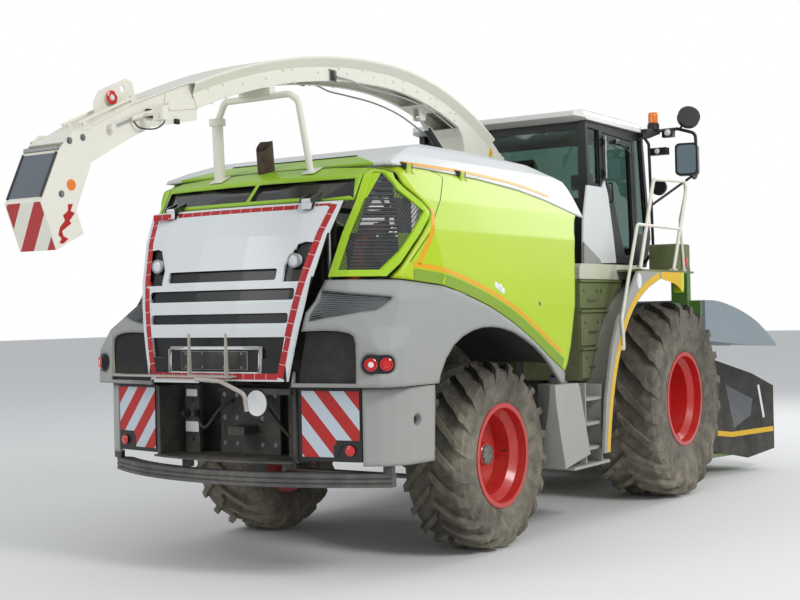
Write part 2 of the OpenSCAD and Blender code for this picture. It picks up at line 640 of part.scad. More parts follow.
// White rear panel with its louvres, the plate recess and the black lamp mounts
// Low and high edge and half width of the louvres
louvres = [[2085, 2165, 506], [1945, 2025, 672], [1785, 1855, 638]];
module tailgate() {
  color(c_white) difference() {
    intersection() {
      body_skin(tail_turns, -tail_proud, panel_t - tail_proud);
      rear_plate([[-tail_w0, tail_low], [tail_w0, tail_low], [tail_w1, tail_top], [-tail_w1, tail_top]], rear_x - 1950, rear_x - 1300);
    }
    for (v = louvres) rear_plate(round_box([-v[2], v[0]], [v[2], v[1]], 18), rear_x - 1950, rear_x - 1300);
    rear_plate([[-620, 1690], [620, 1690], [600, 1550], [420, 1540], [420, 1625], [-420, 1625], [-420, 1540], [-600, 1550]],
      rear_x - 1950, rear_x - 1300);
    rear_plate([[-405, 1448], [405, 1448], [405, 1605], [-405, 1605]], rear_x - 1950, rear_x - 1300);
    both_sides() rear_plate([[560, 2070], [735, 2070], [790, 2335], [690, 2345], [640, 2330], [560, 2180]], rear_x - 1950, rear_x - 1300);
  }
  // Back of the louvres
  color(c_black) intersection() {
    body_skin(tail_turns, panel_t - tail_proud - 1, panel_t - tail_proud + 7);
    rear_plate([[-600, 1500], [600, 1500], [tail_w(2360) - 30, 2360], [30 - tail_w(2360), 2360]], rear_x - 1950, rear_x - 1300);
  }
  // Plate recess
  color(c_black) block([rear_x - 1864, -410, 1444], [rear_x - 1852, 410, 1609]);
  // Lamps
  color(c_white) both_sides() bar([rear_x - 1752, 640, 2215], [rear_x - 1710, 640, 2215], 46, 32);
  // Hinge barrels
  color(c_black) both_sides() difference() {
    union() {
      block([tail_hinge[0] - 14, 600, tail_hinge[1] - 60], [tail_hinge[0] + 42, 680, tail_hinge[1] - 12]);
      bar([tail_hinge[0], 600, tail_hinge[1]], [tail_hinge[0], 680, tail_hinge[1]], 16);
    }
    bar([tail_hinge[0], 599, tail_hinge[1]], [tail_hinge[0], 681, tail_hinge[1]], 8.5);
  }
}
tail_hinge = [rear_x - 1586, 2636];

module load_rack() {
  color(c_steel) {
    // Tray with its struts
    top_plate(concat([[rear_x - 1990, -225]], [for (y = [-225 : 75 : 600]) [rear_x - 1890 + y * y / bow_r / 2, y]],
      [[rear_x - 1862, 940], [rear_x - 1965, 950]]), 1412, 1424);
    for (y = [-180, 0]) side_plate(at_rear([[-1975, 1413], [-1890, 1413], [-1890, 1392]]), y, y + 10);
    // Prongs
    for (y = [-196, 145, 905]) {
      side_plate([[rear_x - 1975, 1420], [rear_x - 1935, 1420], [rear_x - 1950, 1720], [rear_x - 1968, 1720]], y, y + 8);
      block([rear_x - 1975, y, 1420], [rear_x - 1935, y < 0 ? y + 60 : y + 8, 1428]);
    }
    block([rear_x - 1975, -196, 1423], [rear_x - 1935, 153, 1431]);
    block([rear_x - 1975, 820, 1423], [rear_x - 1935, 913, 1431]);
    tube([[rear_x - 1990, 60, 1400], [rear_x - 1990, -160, 1390], [rear_x - 1930, -330, 1300], [rear_x - 1915, -335, 1180]], 15, 60, 20);
    block([rear_x - 2000, 30, 1395], [rear_x - 1975, 70, 1413]);
  }
}

// Grey panels of the rear corners with the wheel arch
arch_line = smooth([[-1175, 780], [-1150, 1100], [-1085, 1400], [-900, 1600], [-620, 1700], [-330, 1722], [0, 1678], [350, 1548],
  [600, 1400], [810, 1225]], 2);
split_z = 1345;
// Outline of the lower body from the bay to the arch: x from the rear axle, y
lower_line = [[-1752, 650.6], [-1672, 1140], [-1622, 1250], [-1545, 1325], [-1440, 1372], [-1150, 1394]];
grille_cut = [[795, 2005], [1205, 1952], [1172, 1862], [772, 1790]];
recess_cut = smooth([[668, 1722], [900, 1730], [1080, 1712], [1135, 1640], [1140, 1372]], 2);
module corner_panels() {
  color(c_grey) both_sides() {
    difference() {
      intersection() {
        body_skin(concat(tail_turns, left_turns));
        side_plate(at_rear(concat([[-1900, split_z], [-1900, 2083]], shifted(hood_edge, 0, -panel_gap - 4), [[850, 1235], [-300, 1235], [-1100, split_z]])), 640, 1500);
      }
      side_plate(at_rear(concat(arch_line, [[810, 600], [-1175, 600]])), 600, 1500);
      rear_plate([[0, 1300], [tail_w(1300) + 14, 1300], [tail_w(2150) + 14, 2150], [0, 2150]], rear_x - 1950, rear_x - 1300);
      rear_plate(grille_cut, rear_x - 1950, rear_x - 1300);
      rear_plate(concat(recess_cut, [[668, 1372]]), rear_x - 1950, rear_x - 1300);
      lamp_cut(fit);
    }
    difference() {
      top_plate(strip(at_rear(reversed([for (i = [1 : 5]) lower_line[i]])), panel_t), 812, split_z - panel_gap);
      side_plate(at_rear([[-1171, 780], [-1145, 1350], [-900, 1350], [-900, 780]]), 600, 1500);
      translate([rear_x - 1360, 1300, 1110]) rotate([-90, 0, 0]) cylinder(r = 42, h = 120);
    }
    // Cup in the round recess
    color(c_black) translate([rear_x - 1360, 1330, 1110]) rotate([-90, 0, 0]) difference() {
      cylinder(r = 41.7, h = 36);
      translate([0, 0, 8]) cylinder(r = 32, h = 40);
    }
  }
}

// Black backs of the side grilles and recesses, the engine's rear screen and the wheel arches
module body_liners() {
  line = reversed(at_rear([for (p = arch_line) if (p[1] > 1380) p]));
  color(c_black) {
    both_sides() {
      difference() {
        intersection() {
          body_skin(concat(tail_turns, left_turns), panel_t + fit, panel_t + 12);
          rear_plate([[690, 1352], [1180, 1352], [1240, 1850], [1240, 2035], [800, 2050]], rear_x - 1950, rear_x - 1300);
        }
        lamp_cut(2);
      }
      side_plate(strip(line, -24, -18), 660, 1330);
      side_plate(strip(line, -19, -11), 1320, 1368.5);
    }
    difference() {
      block([rear_x - 1259.7, -628, pan_top + 2], [rear_x - 1248, 628, 2500]);
      both_sides() block([rear_x - 1262, 560 - fit, 2290 - fit], [rear_x - 1240, 640, 2330 + fit]);
    }
    for (z = [1560 : 150 : 2460]) block([rear_x - 1268, -550, z], [rear_x - 1259, 550, z + 20]);
  }
}

// Red and white boards in black frames, and the round lamps of the rear corners
board_a = lower_line[0];
board_b = lower_line[1];
function board_x(y) = rear_x + board_a[0] + (y - board_a[1]) * (board_b[0] - board_a[0]) / (board_b[1] - board_a[1]) + 31;
module rear_signals() {
  len = norm(board_b - board_a);
  both_sides() translate([rear_x + board_a[0], board_a[1], 0])
    rotate([0, 0, atan2(board_b[1] - board_a[1], board_b[0] - board_a[0])]) {
      color(c_black) block([5.5, -30, 838], [len - 9, 0, 1336]);
      color(c_white) side_plate([[36, 868], [300, 868], [345, 955], [len - 20, 985], [len - 20, 1318], [36, 1318]], -1, 6);
      color(c_red) bar([405, -1, 915], [405, 14, 915], 30, 32);
    }
  both_sides() at_lamp() {
    color(c_black) side_plate(round_box(-lamp_half, lamp_half, 50), -30, 10);
    color(c_red) for (x = [-52, 52]) bar([x, 9, 0], [x, 20, 0], 42, 32);
  }
}
// Seat of a tail lamp on the rounded corner: x runs along it, y points outwards
lamp_half = [108, 62];
module at_lamp() {
  translate([rear_x - 1690, 1290, 1500]) rotate([0, 0, 52]) children();
}
module lamp_cut(e) {
  at_lamp() side_plate(round_box(-lamp_half - [e, e], lamp_half + [e, e], 50 + e), -60, 60);
}

// Rear bay and bumper

module rear_bay() {
  color(c_black) {
    both_sides() {
      side_plate(at_rear([[-1770, 818], [-1347, 818], [-1347, 1330], [-1770, 1330]]), 622, 650);
      block([rear_x - 1560, 420, 831], [rear_x - 1530, 560, 1330]);
      for (z = [930, 1220]) bar([rear_x - 1575, 490, z], [rear_x - 1559, 490, z], 12, 16);
    }
    difference() {
      top_plate(concat([for (y = [-640 : 160 : 640]) [rear_x - 1905 + bumper_r - sqrt(bumper_r * bumper_r - y * y), y]],
        [[rear_x - 1347, 640], [rear_x - 1347, -640]]), 818, 832);
      // The hitch pin comes up through the floor
      translate([rear_x - 1590, 0, 800]) cylinder(r = hitch_r + 14, h = 60);
    }
    block([rear_x - 1376, -623, 831], [rear_x - 1347, 623, 1330]);
    // Hitch plate and its two cheeks
    block([rear_x - 1480, -280, 831], [rear_x - 1452, 280, 1310]);
    both_sides() block([rear_x - 1453, 200, 831], [rear_x - 1375, 228, 1300]);
    difference() {
      block([rear_x - 1640, -75, 980], [rear_x - 1479, 75, 1040]);
      translate([rear_x - 1590, 0, 970]) cylinder(r = hitch_r, h = 80);
    }
    // Holder of the round sign
    bar([rear_x - 1800, -330, 1228], [rear_x - 1794, -330, 1228], 100, 48);
    block([rear_x - 1796, -345, 1228], [rear_x - 1770, -315, 1330]);
    block([rear_x - 1796, -623, 1290], [rear_x - 1770, -315, 1330]);
  }
}

module rear_bumper() {
  color(c_dark) {
    difference() {
      intersection() {
        translate([rear_x - 1932 + bumper_r, 0, 665]) cylinder(r = bumper_r, h = 92, $fn = 180);
        block([rear_x - 2000, -1290, 600], [rear_x - 1500, 1290, 800]);
      }
      translate([rear_x - 1932 + bumper_r, 0, 660]) cylinder(r = bumper_r - 110, h = 102, $fn = 180);
      for (z = [688, 720]) difference() {
        translate([rear_x - 1932 + bumper_r, 0, z]) cylinder(r = bumper_r + 40, h = 10, $fn = 180);
        translate([rear_x - 1932 + bumper_r, 0, z - 1]) cylinder(r = bumper_r - 8, h = 12, $fn = 180);
      }
    }
    both_sides() {
      block([rear_x - 1800, 300, 756.5], [rear_x - 1760, 380, 818 - fit]);
      block([rear_x - 1568, 1230, 756.5], [rear_x - 1530, 1302, 812 - fit]);
    }
  }
}

// Parts on the hood

module exhaust_pipe() {
  r = exhaust_d / 2;
  color("#8a6a4a") difference() {
    bar([rear_x - 1150, 60, 2750], [rear_x - 1190, 60, 3150], r, 48);
    bar([rear_x - 1149, 60, 2740], [rear_x - 1191, 60, 3160], r - 5, 48);
    translate([rear_x - 1200, 60, 3110]) rotate([0, -48, 0]) block([-200, -200, 0], [300, 200, 200]);
    body_form([], -fit);
  }
}

rest_x = rear_x - 1310;
rest_z = 3452;
module spout_rest() {
  color(c_cream) difference() {
    union() {
      tube([[rest_x + 60, -432, 2830], [rest_x - 20, -380, 3400], [rest_x - 30, -310, rest_z], [rest_x - 30, 310, rest_z],
        [rest_x - 8, 402, 3314]], 25, 60);
      bar([rest_x + 40, 432, 2830], [rest_x, 415, 3330], 42, 32);
      intersection() {
        body_form([], -12);
        for (s = [[60, -432], [40, 432]]) block([rest_x + s[0] - 55, s[1] - 60, 2800], [rest_x + s[0] + 55, s[1] + 60, 2960]);
      }
    }
    body_form([], -fit);
  }
  color(c_cream) bar([rest_x + 3.6, 416.53, 3285], [rest_x - 0.8, 414.66, 3340], 62, 48);
  color(c_black) side_plate(at_rear([[-1372, 3465], [-1372, 3512], [-1308, 3528], [-1308, 3465]]), -150, 150);
}

// Cab, its tables count from the foot of its rear wall

cab_back = fore_x + 2400;
cab_front = 1330;
cab_side = [[0, 0], [cab_front, 0], [1450, 300], [1290, 1360], [-60, 1360], [-20, 600]];
function at_cab(points) = [for (p = points) [cab_back + p[0], cab_floor_z + p[1]]];
// Door and its opening; the lower rear corner is swept forward
door_sweep = smooth([[345, 770], [395, 690], [430, 560], [500, 300], [545, 90], [560, 30]], 2);
door_outline = concat([[1060, 30], [1070, 330], [1000, 1250], [330, 1270], [333, 815]], door_sweep);
door_glass = concat([[1000, 120], [1012, 330], [950, 1195], [388, 1212], [392, 835]], smooth([[420, 800], [500, 740], [570, 610], [680, 350],
  [800, 130], [840, 95]], 2));
quarter_glass = [[30, 800], [255, 760], [240, 1292], [-12, 1300]];
module cab_frame() {
  w = cab_half_w;
  color(c_dark) {
    both_sides() {
      difference() {
        side_plate(at_cab(cab_side), w - cab_wall, w);
        side_plate(ring(at_cab(door_outline), -10), w - cab_wall - 1, w + 1);
        side_plate(at_cab([[1130, 330], [1385, 330], [1255, 1292], [1065, 1292]]), w - cab_wall - 1, w + 1);
        side_plate(at_cab(quarter_glass), w - cab_wall - 1, w + 1);
      }
      // Door hinges: arms and pins
      for (z = door_hinges) {
        for (d = [-36, 26]) difference() {
          block([cab_back + 280, w - 2, cab_floor_z + z + d], [hinge_x + 7.5, w + 26, cab_floor_z + z + d + 10]);
          block([cab_back + 321, w - 3, cab_floor_z + z + d - 1], [hinge_x + 10, w + 6, cab_floor_z + z + d + 11]);
        }
        translate([hinge_x, w + door_pin_out, cab_floor_z + z - 36]) cylinder(r = 7, h = 72, $fn = 32);
      }
    }
    block([cab_back, cab_wall - w, cab_floor_z], [cab_back + cab_front, w - cab_wall, cab_floor_z + 60]);
    difference() {
      block([cab_back, cab_wall - w, cab_floor_z + 59], [cab_back + 50, w - cab_wall, cab_floor_z + 1360]);
      block([cab_back - 1, 110 - w, cab_floor_z + 640], [cab_back + 51, w - 110, cab_floor_z + 1290]);
    }
    block([cab_back + 1270, cab_wall - w, cab_floor_z + 59], [cab_back + cab_front, w - cab_wall, cab_floor_z + 200]);
    block([cab_back + 1225, cab_wall - w, cab_floor_z + 1300], [cab_back + 1285, w - cab_wall, cab_floor_z + 1360]);
    // Dashboard below the screen
    side_plate(at_cab([[1210, 199], [1300, 199], [1375, 330], [1340, 360], [1190, 330]]), -500, 500);
  }
}
door_hinges = [880, 1180];
hinge_x = cab_back + 325;
door_pin_out = 14;

// White panels at the rear corners of the cab and its grey sill
module cab_panels() {
  both_sides() {
    color(c_white) difference() {
      side_plate(at_cab(concat([[-200, 10], [-170, 400], [-70, 745], [256, 745], [322, 815]], shifted(door_sweep, -12, 0))), cab_half_w + fit, cab_half_w + 18);
      side_plate(at_cab([[-300, 0], [-300, 90], [-180, 210], [150, 60], [200, 0]]), cab_half_w, cab_half_w + 30);
    }
    color(c_grey) side_plate(at_cab([[-195, 2], [-188, 205], [150, 52], [200, 2]]), cab_half_w + fit, cab_half_w + 30);
  }
}

roof_line = smooth([[-215, 1428], [0, 1470], [400, 1494], [800, 1488], [1150, 1450], [1400, 1398], [1490, 1366]], 3);
module cab_roof() {
  w = cab_half_w + 32;
  color(c_white) intersection() {
    side_plate(at_cab(concat(roof_line, [[1480, 1352], [1330, 1360.3], [-60, 1360.3], [-205, 1390]])), -w, w);
    rear_plate([[-w, cab_floor_z + 1350], [w, cab_floor_z + 1350], [w, cab_floor_z + 1400], [w - 12, cab_floor_z + 1432], [w - 60, cab_floor_z + 1462],
      [w - 200, cab_floor_z + 1484], [0, cab_floor_z + 1498], [200 - w, cab_floor_z + 1484], [60 - w, cab_floor_z + 1462], [12 - w, cab_floor_z + 1432],
      [-w, cab_floor_z + 1400]], cab_back - 300, cab_back + 1600);
    top_plate([[cab_back - 215, 80 - w], [cab_back - 130, -w], [cab_back + 1150, -w], [cab_back + 1420, 90 - w], [cab_back + 1490, 330 - w],
      [cab_back + 1490, w - 330], [cab_back + 1420, w - 90], [cab_back + 1150, w], [cab_back - 130, w], [cab_back - 215, w - 80]],
      cab_floor_z + 1300, cab_floor_z + 1600);
  }
}

module cab_glass() {
  y = cab_half_w - cab_wall - fit;
  inner = cab_half_w - 110 - fit;
  color("#5b7f8a") {
    block([cab_back + 20, -inner, cab_floor_z + 640.3], [cab_back + 20 + glass_t, inner, cab_floor_z + 1289.7]);
    side_plate(strip(at_cab([[1336, 62], [1446, 300], [1293, 1359]]), glass_t, 0), -y, y);
    both_sides() side_plate(at_cab([[30.5, 800.5], [254.5, 760.5], [239.5, 1291.5], [-11, 1299]]), cab_half_w - 30, cab_half_w - 30 + glass_t);
    both_sides() side_plate(at_cab([[1130.5, 330.5], [1384, 330.5], [1254.5, 1291.5], [1065.5, 1291.5]]), cab_half_w - 30, cab_half_w - 30 + glass_t);
  }
}

module cab_seat() {
  z = cab_floor_z + 60.3;
  color(c_dark) {
    side_plate(at_cab([[330, 260], [800, 300], [815, 400], [790, 425], [335, 400], [250, 1010], [190, 1060], [165, 1010], [260, 400], [300, 270]]), -250, 250);
    block([cab_back + 380, -170, z], [cab_back + 680, 170, z + 215]);
    // Steering column and wheel
    block([cab_back + 1000, -60, z], [cab_back + 1100, 60, z + 80]);
    bar([cab_back + 1050, 0, z + 60], [cab_back + 930, 0, cab_floor_z + 650], 36, 32);
    translate([cab_back + 928, 0, cab_floor_z + 655]) rotate([0, -15, 0]) {
      rotate_extrude($fn = 48) translate([185, 14]) circle(r = 15, $fn = 20);
      for (a = [0, 120, 240]) rotate([0, 0, a]) block([0, -18, 4], [180, 18, 18]);
      cylinder(r = 50, h = 26, $fn = 32);
    }
  }
}

module cab_door(side) {
  w = cab_half_w;
  color(c_dark) on_side(side) {
    difference() {
      side_plate(at_cab(door_outline), w - door_t, w);
      side_plate(at_cab(door_glass), w - door_t - 1, w + 1);
    }
    side_plate(at_cab(door_glass), w - 30, w - 30 + glass_t);
    // Hinge straps
    for (z = door_hinges) difference() {
      union() {
        block([hinge_x + 6, w - 1, cab_floor_z + z - 22], [hinge_x + 120, w + 12, cab_floor_z + z + 22]);
        translate([hinge_x, w + door_pin_out, cab_floor_z + z - 22]) cylinder(r = 13, h = 44, $fn = 32);
      }
      translate([hinge_x, w + door_pin_out, cab_floor_z + z - 23]) cylinder(r = 7.5, h = 46, $fn = 32);
      block([hinge_x - 20, w - 30, cab_floor_z + z - 23], [hinge_x + 5.5, w + 0.3, cab_floor_z + z + 23]);
    }
    // Handle
    tube([[cab_back + 470, w - 2, cab_floor_z + 620], [cab_back + 470, w + 32, cab_floor_z + 620], [cab_back + 455, w + 32, cab_floor_z + 800],
      [cab_back + 455, w - 2, cab_floor_z + 800]], 9, 14, 16);
  }
}
module cab_door_left() cab_door(1);
module cab_door_right() cab_door(-1);

// Lamp arms, beacons and mirrors at the front corners of the cab
module mirror_set() {
  x = fore_x;
  both_sides() {
    color(c_dark) {
      // Arm from the roof's corner
      side_plate([[x + 3640, 3560], [x + 3650, 3655], [x + 3990, 3690], [x + 4010, 3640], [x + 3700, 3560]], 925, 985);
      block([x + 3560, cab_half_w + fit, 3560], [x + 3700, 986, 3609]);
      bar([x + 3900, 955, 3670], [x + 3900, 955, 3725], 62, 40);
      tube([[x + 3960, 960, 3665], [x + 4120, 1130, 3690], [x + 4200, 1290, 3640], [x + 4200, 1310, 3260], [x + 4120, 1310, 3160], [x + 4020, 1310, 3180]],
        17, 60);
      bar([x + 4030, 1318, 3182], [x + 3694, 1005, 2880], 13);
      // Main mirror
      difference() {
        translate([x + 3960, 1290, 3345]) rotate([0, 0, -12]) rear_plate(round_box([-115, -165], [115, 165], 45), -55, 55);
        translate([x + 3960, 1290, 3345]) rotate([0, 0, -12]) rear_plate(round_box([-95, -145], [95, 145], 35), -56, -45);
      }
      bar([x + 4000, 1300, 3400], [x + 4205, 1300, 3420], 14);
      // Upper round mirror
      bar([x + 4130, 1150, 3690], [x + 4140, 1250, 3800], 11);
      bar([x + 4112, 1262, 3810], [x + 4160, 1230, 3790], 115, 40);
      // Work lamps on the arm
      block([x + 4010, 1000, 3600], [x + 4080, 1120, 3690]);
      // Upright rod with the lamp and the lower round mirror
      tube([[x + 3640, 955, 3575], [x + 3660, 1000, 3500], [x + 3700, 1010, 2420], [x + 3650, 940, 2300]], 15, 50);
      block([x + 3622, cab_half_w + fit, 2285], [x + 3678, 950, 2325]);
      block([x + 3664, 990, 3385], [x + 3760, 1180, 3455]);
      bar([x + 3690, 1008, 3060], [x + 3735, 1060, 3060], 12);
      bar([x + 3712, 1072, 3062], [x + 3748, 1072, 3058], 82, 40);
    }
    color("#d8651a") {
      bar([x + 3900, 955, 3724], [x + 3900, 955, 3820], 52, 40);
      translate([x + 3900, 955, 3820]) intersection() {
        sphere(r = 52, $fn = 48);
        block([-60, -60, -1], [60, 60, 28]);
      }
    }
  }
}

// Fenders, decks, tanks, rails

// Inner line of the front wheel arch and the rear edge of its grey fascia
fender_line = [[1592, 599], [1630, 830], [1685, 1060], [1765, 1290], [1880, 1510], [2035, 1725], [2240, 1895], [2498, 2020],
  [2813, 2112], [3089, 2150], [3372, 2158]];
fender_back = [[3372, 2175], [2275, 2175], [2088, 2001], [1815, 1737], [1677, 1504], [1531, 1052], [1470, 600]];
arch_t = 14;
fascia_t = 25;
module front_fenders() {
  line = at_fore(smooth(fender_line, 2));
  color(c_grey) both_sides() {
    side_plate(strip(line, arch_t), 800, fender_y - fascia_t + 1);
    side_plate(concat(line, at_fore(fender_back)), fender_y - fascia_t, fender_y);
  }
}
// Space under the arch band, which the boxes keep clear
module arch_space() {
  side_plate(concat(moved(at_fore(smooth(fender_line, 2)), arch_t + fit), at_fore([[3600, 2160], [3600, 500], [1592, 500]])), 600, 1500);
}

tier_z = [1213, 1500, 1830, 2100];
module side_decks() {
  x = fore_x;
  color(c_olive) both_sides() {
    difference() {
      union() {
        for (i = [0 : 2]) {
          block([x + 1550, 640, tier_z[i] + (i > 0 ? -1 : 0)], [x + 2440, 1205 - 6 * i, tier_z[i + 1]]);
          // Lid with a rounded lip
          block([x + 1556, 1190, tier_z[i] + 18], [x + 2440, 1222 - 6 * i, tier_z[i + 1] - 30]);
          block([x + 1550, 1190, tier_z[i + 1] - 22], [x + 2440, 1236 - 6 * i, tier_z[i + 1] - 4]);
        }
        for (i = [1, 2]) bar([x + 1995, 1200, tier_z[i + 1] - 90], [x + 1995, 1224, tier_z[i + 1] - 90], 20, 24);
      }
      arch_space();
    }
  }
  color(c_cream) {
    both_sides() difference() {
      union() {
        side_plate([[x + 1570, 2104], [x + 2840, 2104], [x + 2840, 2243], [x + 1610, 2240], [x + 1575, 2210]], 640, 1203);
        block([x + 1560, 640, tier_z[3] - 1], [x + 2440, 1180, 2105]);
      }
      arch_space();
    }
    // Deck under the cab
    block([x + 2430, -641, 2175], [x + 3700, 641, cab_floor_z - fit]);
    both_sides() block([front_x - 100, 400, deck_low], [front_x + 100, 560, 2176]);
  }
  color(c_olive) both_sides() {
    // Platform and the box in front of it
    block([x + 2360, 1203.3, 2175.3], [x + 2845, 1450, 2195]);
    block([x + 2844, 641, 2175.3], [x + 3290, 1450, 2195]);
    block([x + 3289, 641, 2175.3], [x + 3860, 1372, 2195]);
    side_plate([[x + 3490, 2194], [x + 3490, 2452], [x + 3502, 2468], [x + 3830, 2468], [x + 3842, 2452], [x + 3842, 2194]], 1050, 1340);
    color(c_red) bar([x + 3700, 1339, 2290], [x + 3700, 1358, 2290], 40, 32);
  }
}

module service_tanks() {
  x = fore_x;
  both_sides() {
    color(c_grey) {
      difference() {
        side_plate(at_fore(concat([[820, 535], [1290, 611], [1100, 1195], [1074, 1222]], smooth([[652, 1231], [668, 1080], [740, 800], [820, 535]], 3))), 1180, 1410);
        // Room for the steered tyre
        translate([rear_x, kingpin_y, 500]) cylinder(r = 915, h = 760, $fn = 96);
      }
      bar([x + 867, 1300, 1215], [x + 867, 1300, 1262], 46, 32);
    }
    color(c_dark) {
      // Steps
      block([x + 1246, 1058, 515], [x + 1262, 1390, 1212]);
      block([x + 1558, 1069, 515], [x + 1574, 1390, 1190]);
      block([x + 1261, 1058, 515], [x + 1570, 1070, 1212]);
      for (z = [640, 850, 1060]) block([x + 1261, 1080, z], [x + 1559, 1395, z + 25]);
      block([x + 1000, 1000, 500], [x + 1700, 1400, 524]);
      block([x + 1540, 1069, 515], [x + 1559, 1200, 641]);
    }
    color("#2a62b8") translate([x + 867, 1300, 1262]) cylinder(r = 40, h = 18, $fn = 24);
  }
}

module access_rails() {
  x = fore_x;
  y = 1425;
  color(c_cream) both_sides() {
    tube([[x + 2388, y, 2205], [x + 2740, y, 3045], [x + 3600, y, 3085], [x + 3195, y, 2205]], rail_d / 2, 75);
    tube([[x + 1866, 1476, 1480], [x + 1862, 1476, 1600], [x + 1835, 1475, 1740], [x + 2340, y, 2606], [x + 2545, y, 2604], [x + 3370, y, 2604]],
      15, 60);
    bar([x + 1866, fender_y + fit, 1490], [x + 1866, 1480, 1490], 22, 32);
    for (f = [2386, 3193]) block([x + f - 38, y - 30, 2195.3], [x + f + 38, 1449, 2210]);
    // Handrail in front of the door
    tube([[x + 3640, 1356, 2205], [x + 3560, 1356, 2700], [x + 3556, y, 2990]], 14, 60);
    block([x + 3615, 1341, 2195.3], [x + 3665, 1371, 2210]);
  }
}

// Spout, its tables count from the rear axle

// The arch: centre x and z, radius, angle where the arc begins, angle where it ends
arc_a = [150, crest_z - 6350, 6350, 90, 112];
arc_b = [150, crest_z - 3650, 3650, 70, 90];
arc_bc = [150, crest_z - 3650, 3650, 61.35, 70];
arc_c = [1324.8, crest_z - 1499.9, 1200, 50, 61.35];
half_w = spout_w / 2;
half_f = flange_w / 2;
function duct(r) = [[r - spout_h, -half_w + 30], [r - spout_h, -half_w], [r - 78, -half_w], [r - 16, -half_f], [r, -half_f], [r, half_f],
  [r - 16, half_f], [r - 78, half_w], [r - spout_h, half_w], [r - spout_h, half_w - 30], [r - spout_h + spout_t, half_w - 30],
  [r - spout_h + spout_t, half_w - spout_t], [r - 81, half_w - spout_t], [r - 22, half_f - 12], [r - spout_t, half_f - 12],
  [r - spout_t, 12 - half_f], [r - 22, 12 - half_f], [r - 81, spout_t - half_w], [r - spout_h + spout_t, spout_t - half_w],
  [r - spout_h + spout_t, 30 - half_w]];
function cap(r) = [for (i = [2 : 17]) if (i < 8 || i > 11) duct(r)[i]];
function narrow_cap(r) = [[r - 80, -half_w], [r, -half_w], [r, half_w], [r - 80, half_w], [r - 80, half_w - spout_t], [r - spout_t, half_w - spout_t],
  [r - spout_t, spout_t - half_w], [r - 80, spout_t - half_w]];
module sweep(a, points) {
  translate([rear_x + a[0], 0, a[1]]) rotate([0, -a[3], 0]) rotate([90, 0, 0])
    rotate_extrude(angle = a[4] - a[3], $fn = 360) polygon(points);
}
lift_pin = [rear_x + 2090, crest_z - 629];
flap_pin = [rear_x - 3220, crest_z - 934];
rod_eye = [rear_x + 900, 3560];
extension_top = [[-2150, 3453], [-2320, 3395], [-2500, 3325], [-2774, 3218], [-3110, 3052], [-3365, 2912]];
extension_low = [[-3142, 2808], [-2850, 2967], [-2595, 3092], [-2150, 3186]];
